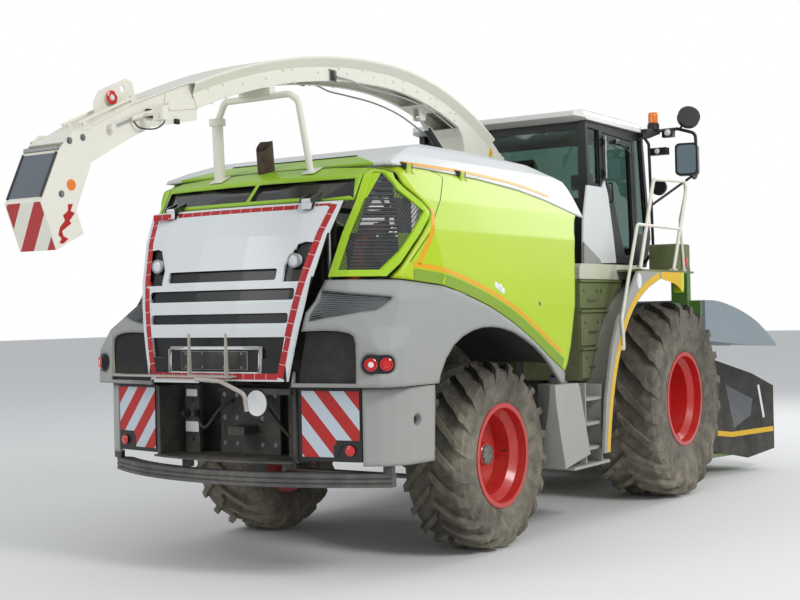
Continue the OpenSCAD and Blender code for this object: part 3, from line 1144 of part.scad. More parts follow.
module spout_arm() {
  pts = arc(arc_c[0], arc_c[1], arc_c[2] - 76, 61.35, 50, 4);
  ptb = arc(arc_b[0], arc_b[1], arc_b[2] - 76, 70, 61.35, 4);
  color(c_cream) {
    sweep(arc_a, duct(arc_a[2]));
    // Weld collar between the two arcs
    rear_plate([for (p = ring(duct(arc_b[2]), -1.5)) [p[1], arc_b[1] + p[0]]], rear_x + arc_b[0] - 4, rear_x + arc_b[0] + 4);
    sweep(arc_b, duct(arc_b[2]));
    sweep(arc_bc, cap(arc_bc[2]));
    sweep(arc_c, narrow_cap(arc_c[2]));
    sweep([arc_c[0], arc_c[1], 0, 46, 50], [[arc_c[2] - spout_t, -half_w], [arc_c[2], -half_w], [arc_c[2], half_w], [arc_c[2] - spout_t, half_w]]);
    // Root: side walls and rear wall
    both_sides() {
      difference() {
        union() {
          side_plate(at_rear(concat([[1335, 3500]], ptb, [for (i = [1 : 4]) pts[i]], [[2060, 3230], [1440, 3262], [1425, 3340], [1400, 3430]])),
            half_w - spout_t + 1, half_w - 1);
          side_plate([[lift_pin[0] - 60, 3234], [lift_pin[0] - 75, 3345], [lift_pin[0] - 10, 3330], [lift_pin[0] + 38, 3290],
            [lift_pin[0] + 38, 3236]], half_w - 1, half_w + 8);
        }
        translate([lift_pin[0], 200, lift_pin[1]]) rotate([90, 0, 0]) cylinder(r = 17, h = 80, $fn = 32);
      }
      // Walls of the extension and the joint plates
      side_plate(at_rear(concat(moved(extension_top, 4), extension_low)), 128, 136);
      side_plate(at_rear([[-2480, 3210], [-2460, 3325], [-2140, 3330], [-2135, 3268]]), 135, half_w - spout_t + 1);
      bar([flap_pin[0], 127, flap_pin[1]], [flap_pin[0], 168, flap_pin[1]], 12);
    }
    side_plate(strip(at_rear([[1335, 3500], [1400, 3430], [1425, 3340], [1440, 3262]]), -spout_t), 4 - half_w, half_w - 4);
    side_plate(strip(at_rear(extension_top), -spout_t), -half_w, half_w);
    // Cross plate with the ears of the lift cylinder
    sweep([arc_b[0], arc_b[1], 0, 75.8, 79.2], [[arc_b[2] - spout_h + 1, 25 - half_w], [arc_b[2] - spout_h + spout_t - 1, 25 - half_w],
      [arc_b[2] - spout_h + spout_t - 1, half_w - 25], [arc_b[2] - spout_h + 1, half_w - 25]]);
    both_sides() {
      side_plate(at_rear([[965, 3625], [830, 3652], [862, 3528], [938, 3528]]), 30, 38);
      bar([rod_eye[0], 24, rod_eye[1]], [rod_eye[0], 37, rod_eye[1]], 14);
      // Thin rods on the extension with their brackets
      bar([rear_x - 2700, 70, 3275], [rear_x - 3170, 70, 3062], 10, 20);
      for (p = [[-2720, 3250], [-3140, 3045]]) side_plate(at_rear([p, p + [50, -20], p + [45, 25], p + [5, 43]]), 60, 80);
    }
    // Lamp plate
    difference() {
      side_plate(at_rear([[-2965, 3122], [-2600, 3286], [-2628, 3400], [-2690, 3412], [-2925, 3305], [-2968, 3235]]), -5, 5);
      bar([rear_x - 2720, -8, 3340], [rear_x - 2720, 8, 3340], 22);
    }
  }
  color(c_red) bar([rear_x - 2835, -22, 3268], [rear_x - 2835, 22, 3268], 42, 32);
  // Work lamp at the side
  color(c_black) both_sides() {
    block([rear_x - 2700, 135, 3150], [rear_x - 2670, 270, 3166]);
    block([rear_x - 2705, 262, 3112], [rear_x - 2650, 345, 3200]);
  }
}

module spout_flap() {
  w = half_w + 6;
  outline = [[-3180, 3000], [-3290, 2992], [-3405, 2880], [-3560, 2545], [-3445, 2260], [-3225, 2365], [-3280, 2510], [-3160, 2790]];
  color(c_cream) {
    both_sides() difference() {
      side_plate(at_rear(outline), w, w + 6);
      translate([flap_pin[0], w + 10, flap_pin[1]]) rotate([90, 0, 0]) cylinder(r = 12.6, h = 20, $fn = 32);
    }
    side_plate(strip(at_rear([[-3405, 2880], [-3560, 2545], [-3445, 2260]]), 7), -w - 1, w + 1);
  }
}

base_top = 3240;
barrel_foot = [rear_x + 1390, 3190];
module spout_base() {
  color(c_cream) {
    difference() {
      translate([turret_x, 0, turret_z + fit]) cylinder(d = turret_d, h = 50);
      translate([turret_x, 0, turret_z]) cylinder(d = turret_d - 120, h = 60);
    }
    difference() {
      side_plate(at_rear([[1500, 3125], [1490, 3250], [2050, 3222], [2060, 3125]]), 8 - half_w, half_w - 8 - 6);
      side_plate(at_rear([[1510, 3120], [1498, 3260], [2042, 3240], [2052, 3120]]), 16 - half_w, half_w - 22);
    }
    block([rear_x + 1495, -half_w, 3125], [rear_x + 2065, half_w, 3136]);
    both_sides() {
      // Ears of the lift pin
      side_plate([[lift_pin[0] - 210, 3120], [lift_pin[0] - 60, 3285], [lift_pin[0] + 20, 3302], [lift_pin[0] + 42, 3245],
        [lift_pin[0] - 10, 3120]], 163, 175);
      block([lift_pin[0] - 200, 130, 3120], [lift_pin[0] - 20, 174, 3140]);
      bar([lift_pin[0], 144, lift_pin[1]], [lift_pin[0], 176, lift_pin[1]], 16);
      // Bracket of the lift cylinder
      side_plate([[barrel_foot[0] - 26, 3165], [barrel_foot[0] - 26, 3214], [rear_x + 1500, 3240], [rear_x + 1500, 3130]], 42, 52);
      bar([barrel_foot[0], 33, barrel_foot[1]], [barrel_foot[0], 51, barrel_foot[1]], 12);
    }
  }
}

function along(a, b, t) = a + (b - a) * t;
module spout_barrel() {
  tip = along(barrel_foot, rod_eye, 0.72);
  color(c_dark) {
    bar([barrel_foot[0], 0, barrel_foot[1]], [tip[0], 0, tip[1]], 32, 32);
    difference() {
      bar([barrel_foot[0], -41, barrel_foot[1]], [barrel_foot[0], 41, barrel_foot[1]], 25, 32);
      both_sides() bar([barrel_foot[0], 29, barrel_foot[1]], [barrel_foot[0], 60, barrel_foot[1]], 12.5, 32);
    }
  }
}
module spout_rod() {
  from = along(barrel_foot, rod_eye, 0.7225);
  color(c_steel) {
    bar([from[0], 0, from[1]], [rod_eye[0], 0, rod_eye[1]], 17, 32);
    bar([rod_eye[0], -18, rod_eye[1]], [rod_eye[0], 18, rod_eye[1]], 26, 32);
  }
}

// Header

cyl_y = 480;
feeder_half = 390;
module feeder_house() {
  x = fore_x;
  color(c_green) {
    side_plate([[x + 3595, 480], [x + 3595, 1250], [x + 4300, 1000], [x + 4450, 900], [x + 4450, 350], [x + 4150, 330]], -feeder_half, feeder_half);
    both_sides() {
      difference() {
        side_plate([[x + 3490, 840], [x + 3490, 960], [x + 3750, 1050], [x + 3750, 720]], 424, 440);
        bar([pivot_x, 420, header_pivot_z], [pivot_x, 445, header_pivot_z], 28.5, 64);
      }
      block([x + 3650, feeder_half - 1, 760], [x + 3748, 425, 1000]);
      // Lugs and pins of the lift cylinders
      side_plate([[x + 4020, 365], [x + 4058, 255], [x + 4142, 255], [x + 4180, 365]], 375, 430);
      bar([cyl_eye[0], 425, cyl_eye[1]], [cyl_eye[0], 530, cyl_eye[1]], 22);
    }
  }
}

// Plan of the folded header's right-hand side: y grows from the rear to the tip
guard_rear = fore_x + 4740;
guard_front = fore_x + 5920;
function out_y(x, d = 0) = min(header_half_w, 1200 + (x - guard_rear) * 300 / (guard_front - guard_rear)) - d;
module header_frame() {
  x = fore_x;
  color(c_green) {
    block([x + 4451, -1180, 300], [x + 4580, 1180, 520]);
    block([x + 4451, -1180, 1000], [x + 4580, 1180, 1150]);
    both_sides() {
      block([x + 4480, 880, 519], [x + 4580, 1060, 2250]);
      block([x + 4540, 1040, 519], [x + 4580, 1180, 1900]);
      block([x + 4579, 930, 1500], [x + 4640 - fit, 1040, 1620]);
      block([x + 4479, 60, 1149], [x + 4580, 200, 1800]);
      block([x + 4579, 70, 1500], [x + 4640 - fit, 190, 1620]);
      // Floor
      top_plate([[x + 4579, -1], [x + 4579, 1140], [x + 5800, out_y(x + 5800, 20)], [x + 5800, -1]], 205, 245);
      translate([rotor_x, rotor_y, 244]) cylinder(r = 90, h = 15.7);
      bar([rotor_x, rotor_y, 250], [rotor_x, rotor_y, 920], 30, 32);
    }
    block([x + 4579, -1130, 205], [x + 4620, 1130, 520]);
  }
}

// Crop rotors with their toothed discs
rotor_x = fore_x + 5180;
rotor_y = 455;
tooth_n = 24;
function teeth(r, n) = [for (i = [0 : n - 1]) for (k = [0 : 3])
  let (a = (i + [0, 0.12, 0.5, 0.62][k]) * 360 / n, q = k == 1 || k == 2 ? r : r - 45) [q * cos(a), q * sin(a)]];
module crop_rotor(side) {
  color(c_steel) translate([rotor_x, side * rotor_y, 0]) difference() {
    union() {
      translate([0, 0, 260]) cylinder(r = 290, h = 600);
      for (z = [275, 480, 700]) translate([0, 0, z]) linear_extrude(16) polygon(teeth(rotor_r, tooth_n));
    }
    translate([0, 0, 255]) cylinder(r = 31, h = 620);
  }
}
module rotor_left() crop_rotor(1);
module rotor_right() crop_rotor(-1);

nose_line = concat([[4640, 1470], [4640, 1900]], smooth([[4640, 1907], [4900, 1893], [5300, 1800], [5700, 1640], [6060, 1398]], 3), [[6060, 1372], [5500, 1400]]);
module header_noses() {
  x = fore_x;
  color(c_green) both_sides() intersection() {
    side_plate(at_fore(nose_line), 50, header_half_w);
    top_plate([[x + 4620, 60], [x + 4620, 1190], [x + 5960, 1478], [x + 6060, header_half_w], [x + 6060, 1420], [x + 5560, 1230], [x + 5520, 1080], [x + 6060, 960],
      [x + 6060, 900], [x + 5500, 740], [x + 5500, 560], [x + 6060, 420], [x + 6060, 360], [x + 5480, 200], [x + 5440, 60]], 1300, 2000);
  }
}

guard_side = [[4740, 288], [5400, 154], [5920, 217], [5945, 560], [5940, 920], [5500, 1085], [4770, 1270], [4735, 1262]];
module header_guard() {
  plan = [[guard_rear - 20, out_y(guard_rear)], [guard_front, out_y(guard_front)], [guard_front, -out_y(guard_front)], [guard_rear - 20, -out_y(guard_rear)]];
  color(c_white) {
    intersection() {
      top_plate(strip(plan, -14), 100, 1400);
      side_plate(at_fore(guard_side), -1500, 1500);
    }
    // Ties to the floor of the header
    both_sides() block([fore_x + 5700, out_y(fore_x + 5700) - 60, 245.3], [fore_x + 5780, out_y(fore_x + 5700) - 5, 320]);
  }
}

module lift_barrels() {
  tip = along(cyl_foot, cyl_eye, 0.6);
  // The bore, from its end out through the tip
  bore_end = along(cyl_foot, cyl_eye, 0.32);
  beyond = along(cyl_foot, cyl_eye, 0.62);
  color(c_dark) both_sides() difference() {
    union() {
      bar([cyl_foot[0], cyl_y, cyl_foot[1]], [tip[0], cyl_y, tip[1]], 42, 32);
      bar([cyl_foot[0], cyl_y - 46, cyl_foot[1]], [cyl_foot[0], cyl_y + 46, cyl_foot[1]], 52, 64);
    }
    bar([bore_end[0], cyl_y, bore_end[1]], [beyond[0], cyl_y, beyond[1]], 25.5, 32);
    bar([cyl_foot[0], cyl_y - 60, cyl_foot[1]], [cyl_foot[0], cyl_y + 60, cyl_foot[1]], 22.5, 64);
  }
}
module lift_rods() {
  from = along(cyl_foot, cyl_eye, 0.38);
  color(c_steel) both_sides() difference() {
    union() {
      bar([from[0], cyl_y, from[1]], [cyl_eye[0], cyl_y, cyl_eye[1]], 25, 32);
      bar([cyl_eye[0], cyl_y - 35, cyl_eye[1]], [cyl_eye[0], cyl_y + 35, cyl_eye[1]], 50, 32);
    }
    bar([cyl_eye[0], cyl_y - 60, cyl_eye[1]], [cyl_eye[0], cyl_y + 60, cyl_eye[1]], 29, 32);
  }
}

chassis_frame();
tail_frame();
hood_frame();
front_axle();
rear_axle();
engine_block();
chopper_housing();
rear_bay();
rear_bumper();
corner_panels();
body_liners();
rear_signals();
roof_cap();
hood_top();
corner_screens();
exhaust_pipe();
spout_rest();
cab_frame();
cab_panels();
cab_roof();
cab_glass();
cab_seat();
mirror_set();
front_fenders();
side_decks();
service_tanks();
access_rails();
tyre_front_left();
rim_front_left();
tyre_front_right();
rim_front_right();
tyre_rear_left();
rim_rear_left();
tyre_rear_right();
rim_rear_right();
knuckle_left();
knuckle_right();
steering_bar();
spout_base();
spout_arm();
spout_flap();
spout_barrel();
spout_rod();
tailgate();
load_rack();
side_hood_left();
side_hood_right();
cab_door_left();
cab_door_right();
feeder_house();
header_frame();
header_noses();
header_guard();
rotor_left();
rotor_right();
lift_barrels();
lift_rods();
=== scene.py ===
"""Looks of the forage harvester: finishes for the solids, and the trim that they carry."""
import math

import bmesh
import bpy
from mathutils import Matrix, Vector
from mathutils.bvhtree import BVHTree


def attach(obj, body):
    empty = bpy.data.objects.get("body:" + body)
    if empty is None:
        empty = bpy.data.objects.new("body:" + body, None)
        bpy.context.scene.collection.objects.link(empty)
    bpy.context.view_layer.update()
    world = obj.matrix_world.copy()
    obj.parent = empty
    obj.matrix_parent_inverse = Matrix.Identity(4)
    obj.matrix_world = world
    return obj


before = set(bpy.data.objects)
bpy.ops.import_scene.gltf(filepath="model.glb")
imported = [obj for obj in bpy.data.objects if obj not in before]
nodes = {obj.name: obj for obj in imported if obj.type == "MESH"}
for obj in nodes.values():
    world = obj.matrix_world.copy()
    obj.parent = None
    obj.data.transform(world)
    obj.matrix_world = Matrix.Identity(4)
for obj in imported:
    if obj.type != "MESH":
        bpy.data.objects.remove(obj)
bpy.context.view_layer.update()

# Places in metres: rear and front axle, as in the part's source
REAR = -1.25
FRONT = 2.09

SIDES = (("left", 1), ("right", -1))
AHEAD = Vector((1, 0, 0))
BACK = Vector((-1, 0, 0))
UP = Vector((0, 0, 1))
DOWN = Vector((0, 0, -1))


def rgb(code):
    """Colour of a hex code, in the linear values that the shaders take."""
    parts = [int(code[i:i + 2], 16) / 255 for i in (1, 3, 5)]
    return [c / 12.92 if c <= 0.04045 else ((c + 0.055) / 1.055) ** 2.4 for c in parts] + [1.0]


# Camera: where the photograph was taken, in metres, degrees and millimetres of focal length
CAMERA_PLACE = (-10.199, -6.267, 1.856)
CAMERA_YAW, CAMERA_PITCH, CAMERA_ROLL = 33.449, 0.457, -1.081
CAMERA_LENS = 59.53


def place_camera():
    yaw, pitch, roll = (math.radians(a) for a in (CAMERA_YAW, CAMERA_PITCH, CAMERA_ROLL))
    ahead = Vector((math.cos(yaw) * math.cos(pitch), math.sin(yaw) * math.cos(pitch), math.sin(pitch)))
    right = ahead.cross(UP).normalized()
    up = right.cross(ahead)
    side = right * math.cos(roll) + up * math.sin(roll)
    top = up * math.cos(roll) - right * math.sin(roll)
    data = bpy.data.cameras.new("view_of_photo")
    data.lens = CAMERA_LENS
    data.sensor_width = 36
    data.clip_start = 0.1
    data.clip_end = 200
    camera = bpy.data.objects.new("view_of_photo", data)
    turn = Matrix((side, top, -ahead)).transposed().to_4x4()
    camera.matrix_world = Matrix.Translation(CAMERA_PLACE) @ turn
    bpy.context.scene.collection.objects.link(camera)
    bpy.context.scene.camera = camera


place_camera()


# Node groups that several finishes share

def new_group(name, inputs, outputs):
    """Empty shader node group with named sockets, and its inner ends."""
    tree = bpy.data.node_groups.new(name, "ShaderNodeTree")
    for label, kind, value in inputs:
        socket = tree.interface.new_socket(label, in_out="INPUT", socket_type=kind)
        if value is not None:
            socket.default_value = value
    for label, kind in outputs:
        tree.interface.new_socket(label, in_out="OUTPUT", socket_type=kind)
    return tree, tree.nodes.new("NodeGroupInput"), tree.nodes.new("NodeGroupOutput")


def math_node(tree, kind, a, b=0.0, clamp=False):
    node = tree.nodes.new("ShaderNodeMath")
    node.operation = kind
    node.use_clamp = clamp
    for i, value in enumerate((a, b)):
        if isinstance(value, bpy.types.NodeSocket):
            tree.links.new(value, node.inputs[i])
        else:
            node.inputs[i].default_value = value
    return node.outputs[0]


def dot_node(tree, a, b):
    node = tree.nodes.new("ShaderNodeVectorMath")
    node.operation = "DOT_PRODUCT"
    tree.links.new(a, node.inputs[0])
    tree.links.new(b, node.inputs[1])
    return node.outputs["Value"]


def noise_node(tree, vector, scale, detail=3.0, rough=0.55):
    node = tree.nodes.new("ShaderNodeTexNoise")
    tree.links.new(vector, node.inputs["Vector"])
    if isinstance(scale, bpy.types.NodeSocket):
        tree.links.new(scale, node.inputs["Scale"])
    else:
        node.inputs["Scale"].default_value = scale
    node.inputs["Detail"].default_value = detail
    node.inputs["Roughness"].default_value = rough
    return node.outputs["Fac"]


def ramp_node(tree, value, low, high):
    node = tree.nodes.new("ShaderNodeMapRange")
    node.clamp = True
    tree.links.new(value, node.inputs["Value"])
    node.inputs["From Min"].default_value = low
    node.inputs["From Max"].default_value = high
    return node.outputs["Result"]


def make_weathering():
    """Uneven tone of old paint, and road dust that settles from the ground upwards."""
    tree, start, end = new_group(
        "weathering",
        [("Vector", "NodeSocketVector", None), ("Scale", "NodeSocketFloat", 2.0),
         ("Dust Top", "NodeSocketFloat", 1.5), ("Dust", "NodeSocketFloat", 0.3)],
        [("Tone", "NodeSocketFloat"), ("Dust", "NodeSocketFloat")])
    links = tree.links
    vector = start.outputs["Vector"]
    links.new(noise_node(tree, vector, start.outputs["Scale"], 4.0), end.inputs["Tone"])
    split = tree.nodes.new("ShaderNodeSeparateXYZ")
    links.new(vector, split.inputs[0])
    share = math_node(tree, "DIVIDE", split.outputs["Z"], start.outputs["Dust Top"])
    rise = math_node(tree, "SUBTRACT", 1.0, share, clamp=True)
    spots = ramp_node(tree, noise_node(tree, vector, 9.0, 6.0, 0.7), 0.3, 0.75)
    patches = ramp_node(tree, noise_node(tree, vector, 1.7, 3.0), 0.25, 0.7)
    spots = math_node(tree, "ADD", spots, 0.35)
    patches = math_node(tree, "ADD", patches, 0.25)
    uneven = math_node(tree, "MULTIPLY", spots, patches)
    settled = math_node(tree, "MULTIPLY", uneven, rise)
    dust = math_node(tree, "MULTIPLY", settled, start.outputs["Dust"], clamp=True)
    links.new(dust, end.inputs["Dust"])
    return tree


def make_skin_bump():
    """Height of a surface's own skin: the orange peel of paint or the grain of moulded plastic."""
    tree, start, end = new_group(
        "skin_bump", [("Vector", "NodeSocketVector", None), ("Scale", "NodeSocketFloat", 300.0)],
        [("Height", "NodeSocketFloat")])
    fine = noise_node(tree, start.outputs["Vector"], start.outputs["Scale"], 2.0)
    slow = noise_node(tree, start.outputs["Vector"], 5.0, 2.0)
    tree.links.new(math_node(tree, "ADD", fine, math_node(tree, "MULTIPLY", slow, 2.0)), end.inputs["Height"])
    return tree


def make_side_mask():
    """1 on the far side of a plane, 0 before it."""
    tree, start, end = new_group(
        "side_mask", [("Vector", "NodeSocketVector", None), ("Normal", "NodeSocketVector", None),
                      ("Offset", "NodeSocketFloat", 0.0)], [("Mask", "NodeSocketFloat")])
    dot = dot_node(tree, start.outputs["Vector"], start.outputs["Normal"])
    tree.links.new(math_node(tree, "GREATER_THAN", dot, start.outputs["Offset"]), end.inputs["Mask"])
    return tree


def make_bars_mask():
    """Even bars across a direction."""
    tree, start, end = new_group(
        "bars_mask", [("Vector", "NodeSocketVector", None), ("Direction", "NodeSocketVector", None),
                      ("Pitch", "NodeSocketFloat", 0.1), ("Share", "NodeSocketFloat", 0.5),
                      ("Shift", "NodeSocketFloat", 0.0)], [("Mask", "NodeSocketFloat")])
    dot = dot_node(tree, start.outputs["Vector"], start.outputs["Direction"])
    shifted = math_node(tree, "ADD", dot, start.outputs["Shift"])
    along = math_node(tree, "DIVIDE", shifted, start.outputs["Pitch"])
    part = math_node(tree, "FRACT", along)
    tree.links.new(math_node(tree, "LESS_THAN", part, start.outputs["Share"]), end.inputs["Mask"])
    return tree


def make_holes_mask():
    """Round holes of a pierced sheet, in rows set off by half a pitch, seen along y or x."""
    tree, start, end = new_group(
        "holes_mask", [("Vector", "NodeSocketVector", None), ("Pitch", "NodeSocketFloat", 0.008),
                       ("Radius", "NodeSocketFloat", 0.36)], [("Mask", "NodeSocketFloat")])
    split = tree.nodes.new("ShaderNodeSeparateXYZ")
    tree.links.new(start.outputs["Vector"], split.inputs[0])
    run = math_node(tree, "SUBTRACT", split.outputs["X"], math_node(tree, "ABSOLUTE", split.outputs["Y"]))
    across = math_node(tree, "DIVIDE", run, math_node(tree, "MULTIPLY", start.outputs["Pitch"], 1.41))
    row_height = math_node(tree, "MULTIPLY", start.outputs["Pitch"], 0.87)
    row = math_node(tree, "DIVIDE", split.outputs["Z"], row_height)
    parity = math_node(tree, "FLOORED_MODULO", math_node(tree, "FLOOR", row), 2.0)
    odd = math_node(tree, "MULTIPLY", parity, 0.5)
    u = math_node(tree, "SUBTRACT", math_node(tree, "FRACT", math_node(tree, "ADD", across, odd)), 0.5)
    v = math_node(tree, "MULTIPLY", math_node(tree, "SUBTRACT", math_node(tree, "FRACT", row), 0.5), 0.87)
    reach = math_node(tree, "SQRT", math_node(tree, "ADD", math_node(tree, "MULTIPLY", u, u),
                                              math_node(tree, "MULTIPLY", v, v)))
    tree.links.new(math_node(tree, "LESS_THAN", reach, start.outputs["Radius"]), end.inputs["Mask"])
    return tree


WEATHERING = make_weathering()
SKIN_BUMP = make_skin_bump()
SIDE = make_side_mask()
BARS = make_bars_mask()
HOLES = make_holes_mask()


class Finish:
    """One material, built up as a painter would: ground colour, patches of other colours, dust."""

    def __init__(self, name, colour, rough=0.45, metal=0.0, tone=0.12, tone_scale=2.0, grain=0.0,
                 grain_scale=300.0, dust=0.3, dust_top=1.6, dust_colour="#a09a8c", coat=0.0, soft=0.0):
        self.material = bpy.data.materials.new(name)
        self.material.use_nodes = True
        self.tree = self.material.node_tree
        self.tree.nodes.clear()
        self.shader = self.tree.nodes.new("ShaderNodeBsdfPrincipled")
        out = self.tree.nodes.new("ShaderNodeOutputMaterial")
        self.tree.links.new(self.shader.outputs[0], out.inputs["Surface"])
        self.place = self.tree.nodes.new("ShaderNodeTexCoord").outputs["Object"]
        self.shader.inputs["Coat Weight"].default_value = coat
        self.shader.inputs["Coat Roughness"].default_value = 0.12
        self.weather = self.group(WEATHERING, {"Scale": tone_scale, "Dust Top": dust_top, "Dust": dust})
        self.dust = dust
        self.dust_colour = rgb(dust_colour)
        self.tone = tone
        ground = rgb(colour)
        dark = [c * (1 - tone) for c in ground[:3]] + [1.0]
        light = [min(1.0, c * (1 + 0.4 * tone)) for c in ground[:3]] + [1.0]
        self.colour = self.mix(self.weather.outputs["Tone"], dark, light)
        self.rough = self.span(self.weather.outputs["Tone"], rough * 1.15, rough * 0.88)
        self.shader.inputs["Metallic"].default_value = metal
        bend = None
        if soft:
            bend = self.tree.nodes.new("ShaderNodeBevel")
            bend.samples = 8
            bend.inputs["Radius"].default_value = soft
            self.tree.links.new(bend.outputs["Normal"], self.shader.inputs["Normal"])
        if grain:
            skin = self.group(SKIN_BUMP, {"Scale": grain_scale})
            bump = self.tree.nodes.new("ShaderNodeBump")
            bump.inputs["Strength"].default_value = grain
            bump.inputs["Distance"].default_value = 0.001
            self.tree.links.new(skin.outputs["Height"], bump.inputs["Height"])
            if bend:
                self.tree.links.new(bend.outputs["Normal"], bump.inputs["Normal"])
            self.tree.links.new(bump.outputs["Normal"], self.shader.inputs["Normal"])

    def group(self, group, values, vector=None):
        node = self.tree.nodes.new("ShaderNodeGroup")
        node.node_tree = group
        self.tree.links.new(vector or self.place, node.inputs["Vector"])
        for label, value in values.items():
            node.inputs[label].default_value = value
        return node

    def mix(self, factor, a, b):
        node = self.tree.nodes.new("ShaderNodeMix")
        node.data_type = "RGBA"
        self.tree.links.new(factor, node.inputs[0])
        for index, value in ((6, a), (7, b)):
            if isinstance(value, bpy.types.NodeSocket):
                self.tree.links.new(value, node.inputs[index])
            else:
                node.inputs[index].default_value = value
        return node.outputs[2]

    def span(self, factor, low, high):
        node = self.tree.nodes.new("ShaderNodeMix")
        node.data_type = "FLOAT"
        self.tree.links.new(factor, node.inputs[0])
        for index, value in ((2, low), (3, high)):
            if isinstance(value, bpy.types.NodeSocket):
                self.tree.links.new(value, node.inputs[index])
            else:
                node.inputs[index].default_value = value
        return node.outputs[0]

    def mask(self, *shapes):
        """Where all shapes hold: side (normal, offset), box (low, high), holes (pitch, radius) or
        bars (direction, pitch, share, shift). A kind that ends in _both also holds mirrored."""
        total = None
        for shape in shapes:
            kind, rest = shape[0], shape[1:]
            both = kind.endswith("_both")
            vector = self.mirrored() if both else self.place
            kind = kind.replace("_both", "")
            if kind == "box":
                for axis in range(3):
                    for end, sign in ((rest[0][axis], 1), (rest[1][axis], -1)):
                        if end is None:
                            continue
                        normal = [0.0, 0.0, 0.0]
                        normal[axis] = float(sign)
                        total = self.times(total, self.group(
                            SIDE, {"Normal": normal, "Offset": sign * end}, vector).outputs[0])
                continue
            if kind == "side":
                node = self.group(SIDE, {"Normal": rest[0], "Offset": rest[1]}, vector)
            if kind == "bars":
                node = self.group(BARS, {"Direction": rest[0], "Pitch": rest[1], "Share": rest[2],
                                         "Shift": rest[3]}, vector)
            if kind == "holes":
                node = self.group(HOLES, {"Pitch": rest[0], "Radius": rest[1]}, vector)
            total = self.times(total, node.outputs[0])
        return total

    def mirrored(self):
        """Object coordinates with both sides folded onto the left one."""
        if not hasattr(self, "folded"):
            split = self.tree.nodes.new("ShaderNodeSeparateXYZ")
            self.tree.links.new(self.place, split.inputs[0])
            fold = math_node(self.tree, "ABSOLUTE", split.outputs["Y"])
            join = self.tree.nodes.new("ShaderNodeCombineXYZ")
            self.tree.links.new(split.outputs["X"], join.inputs["X"])
            self.tree.links.new(fold, join.inputs["Y"])
            self.tree.links.new(split.outputs["Z"], join.inputs["Z"])
            self.folded = join.outputs[0]
        return self.folded

    def times(self, a, b):
        return b if a is None else math_node(self.tree, "MULTIPLY", a, b)

    def patch(self, colour, *shapes):
        """Another colour where all the shapes hold."""
        dark = [c * (1 - self.tone) for c in rgb(colour)[:3]] + [1.0]
        tone = self.mix(self.weather.outputs["Tone"], dark, rgb(colour))
        self.colour = self.mix(self.mask(*shapes), self.colour, tone)
        return self

    def done(self):
        if self.dust:
            self.colour = self.mix(self.weather.outputs["Dust"], self.colour, self.dust_colour)
            self.rough = self.span(self.weather.outputs["Dust"], self.rough, 0.85)
        self.tree.links.new(self.colour, self.shader.inputs["Base Color"])
        self.tree.links.new(self.rough, self.shader.inputs["Roughness"])
        return self.material


# Colours, from the photograph
LEAF = "#c9df0c"
GREEN = "#4e7a2c"
OLIVE = "#66723f"
CREAM = "#e6e4d6"
WHITE = "#e3e6e6"
GREY = "#9fa19d"
BLACK = "#141516"
RED = "#c40f12"
YELLOW = "#e8b90e"

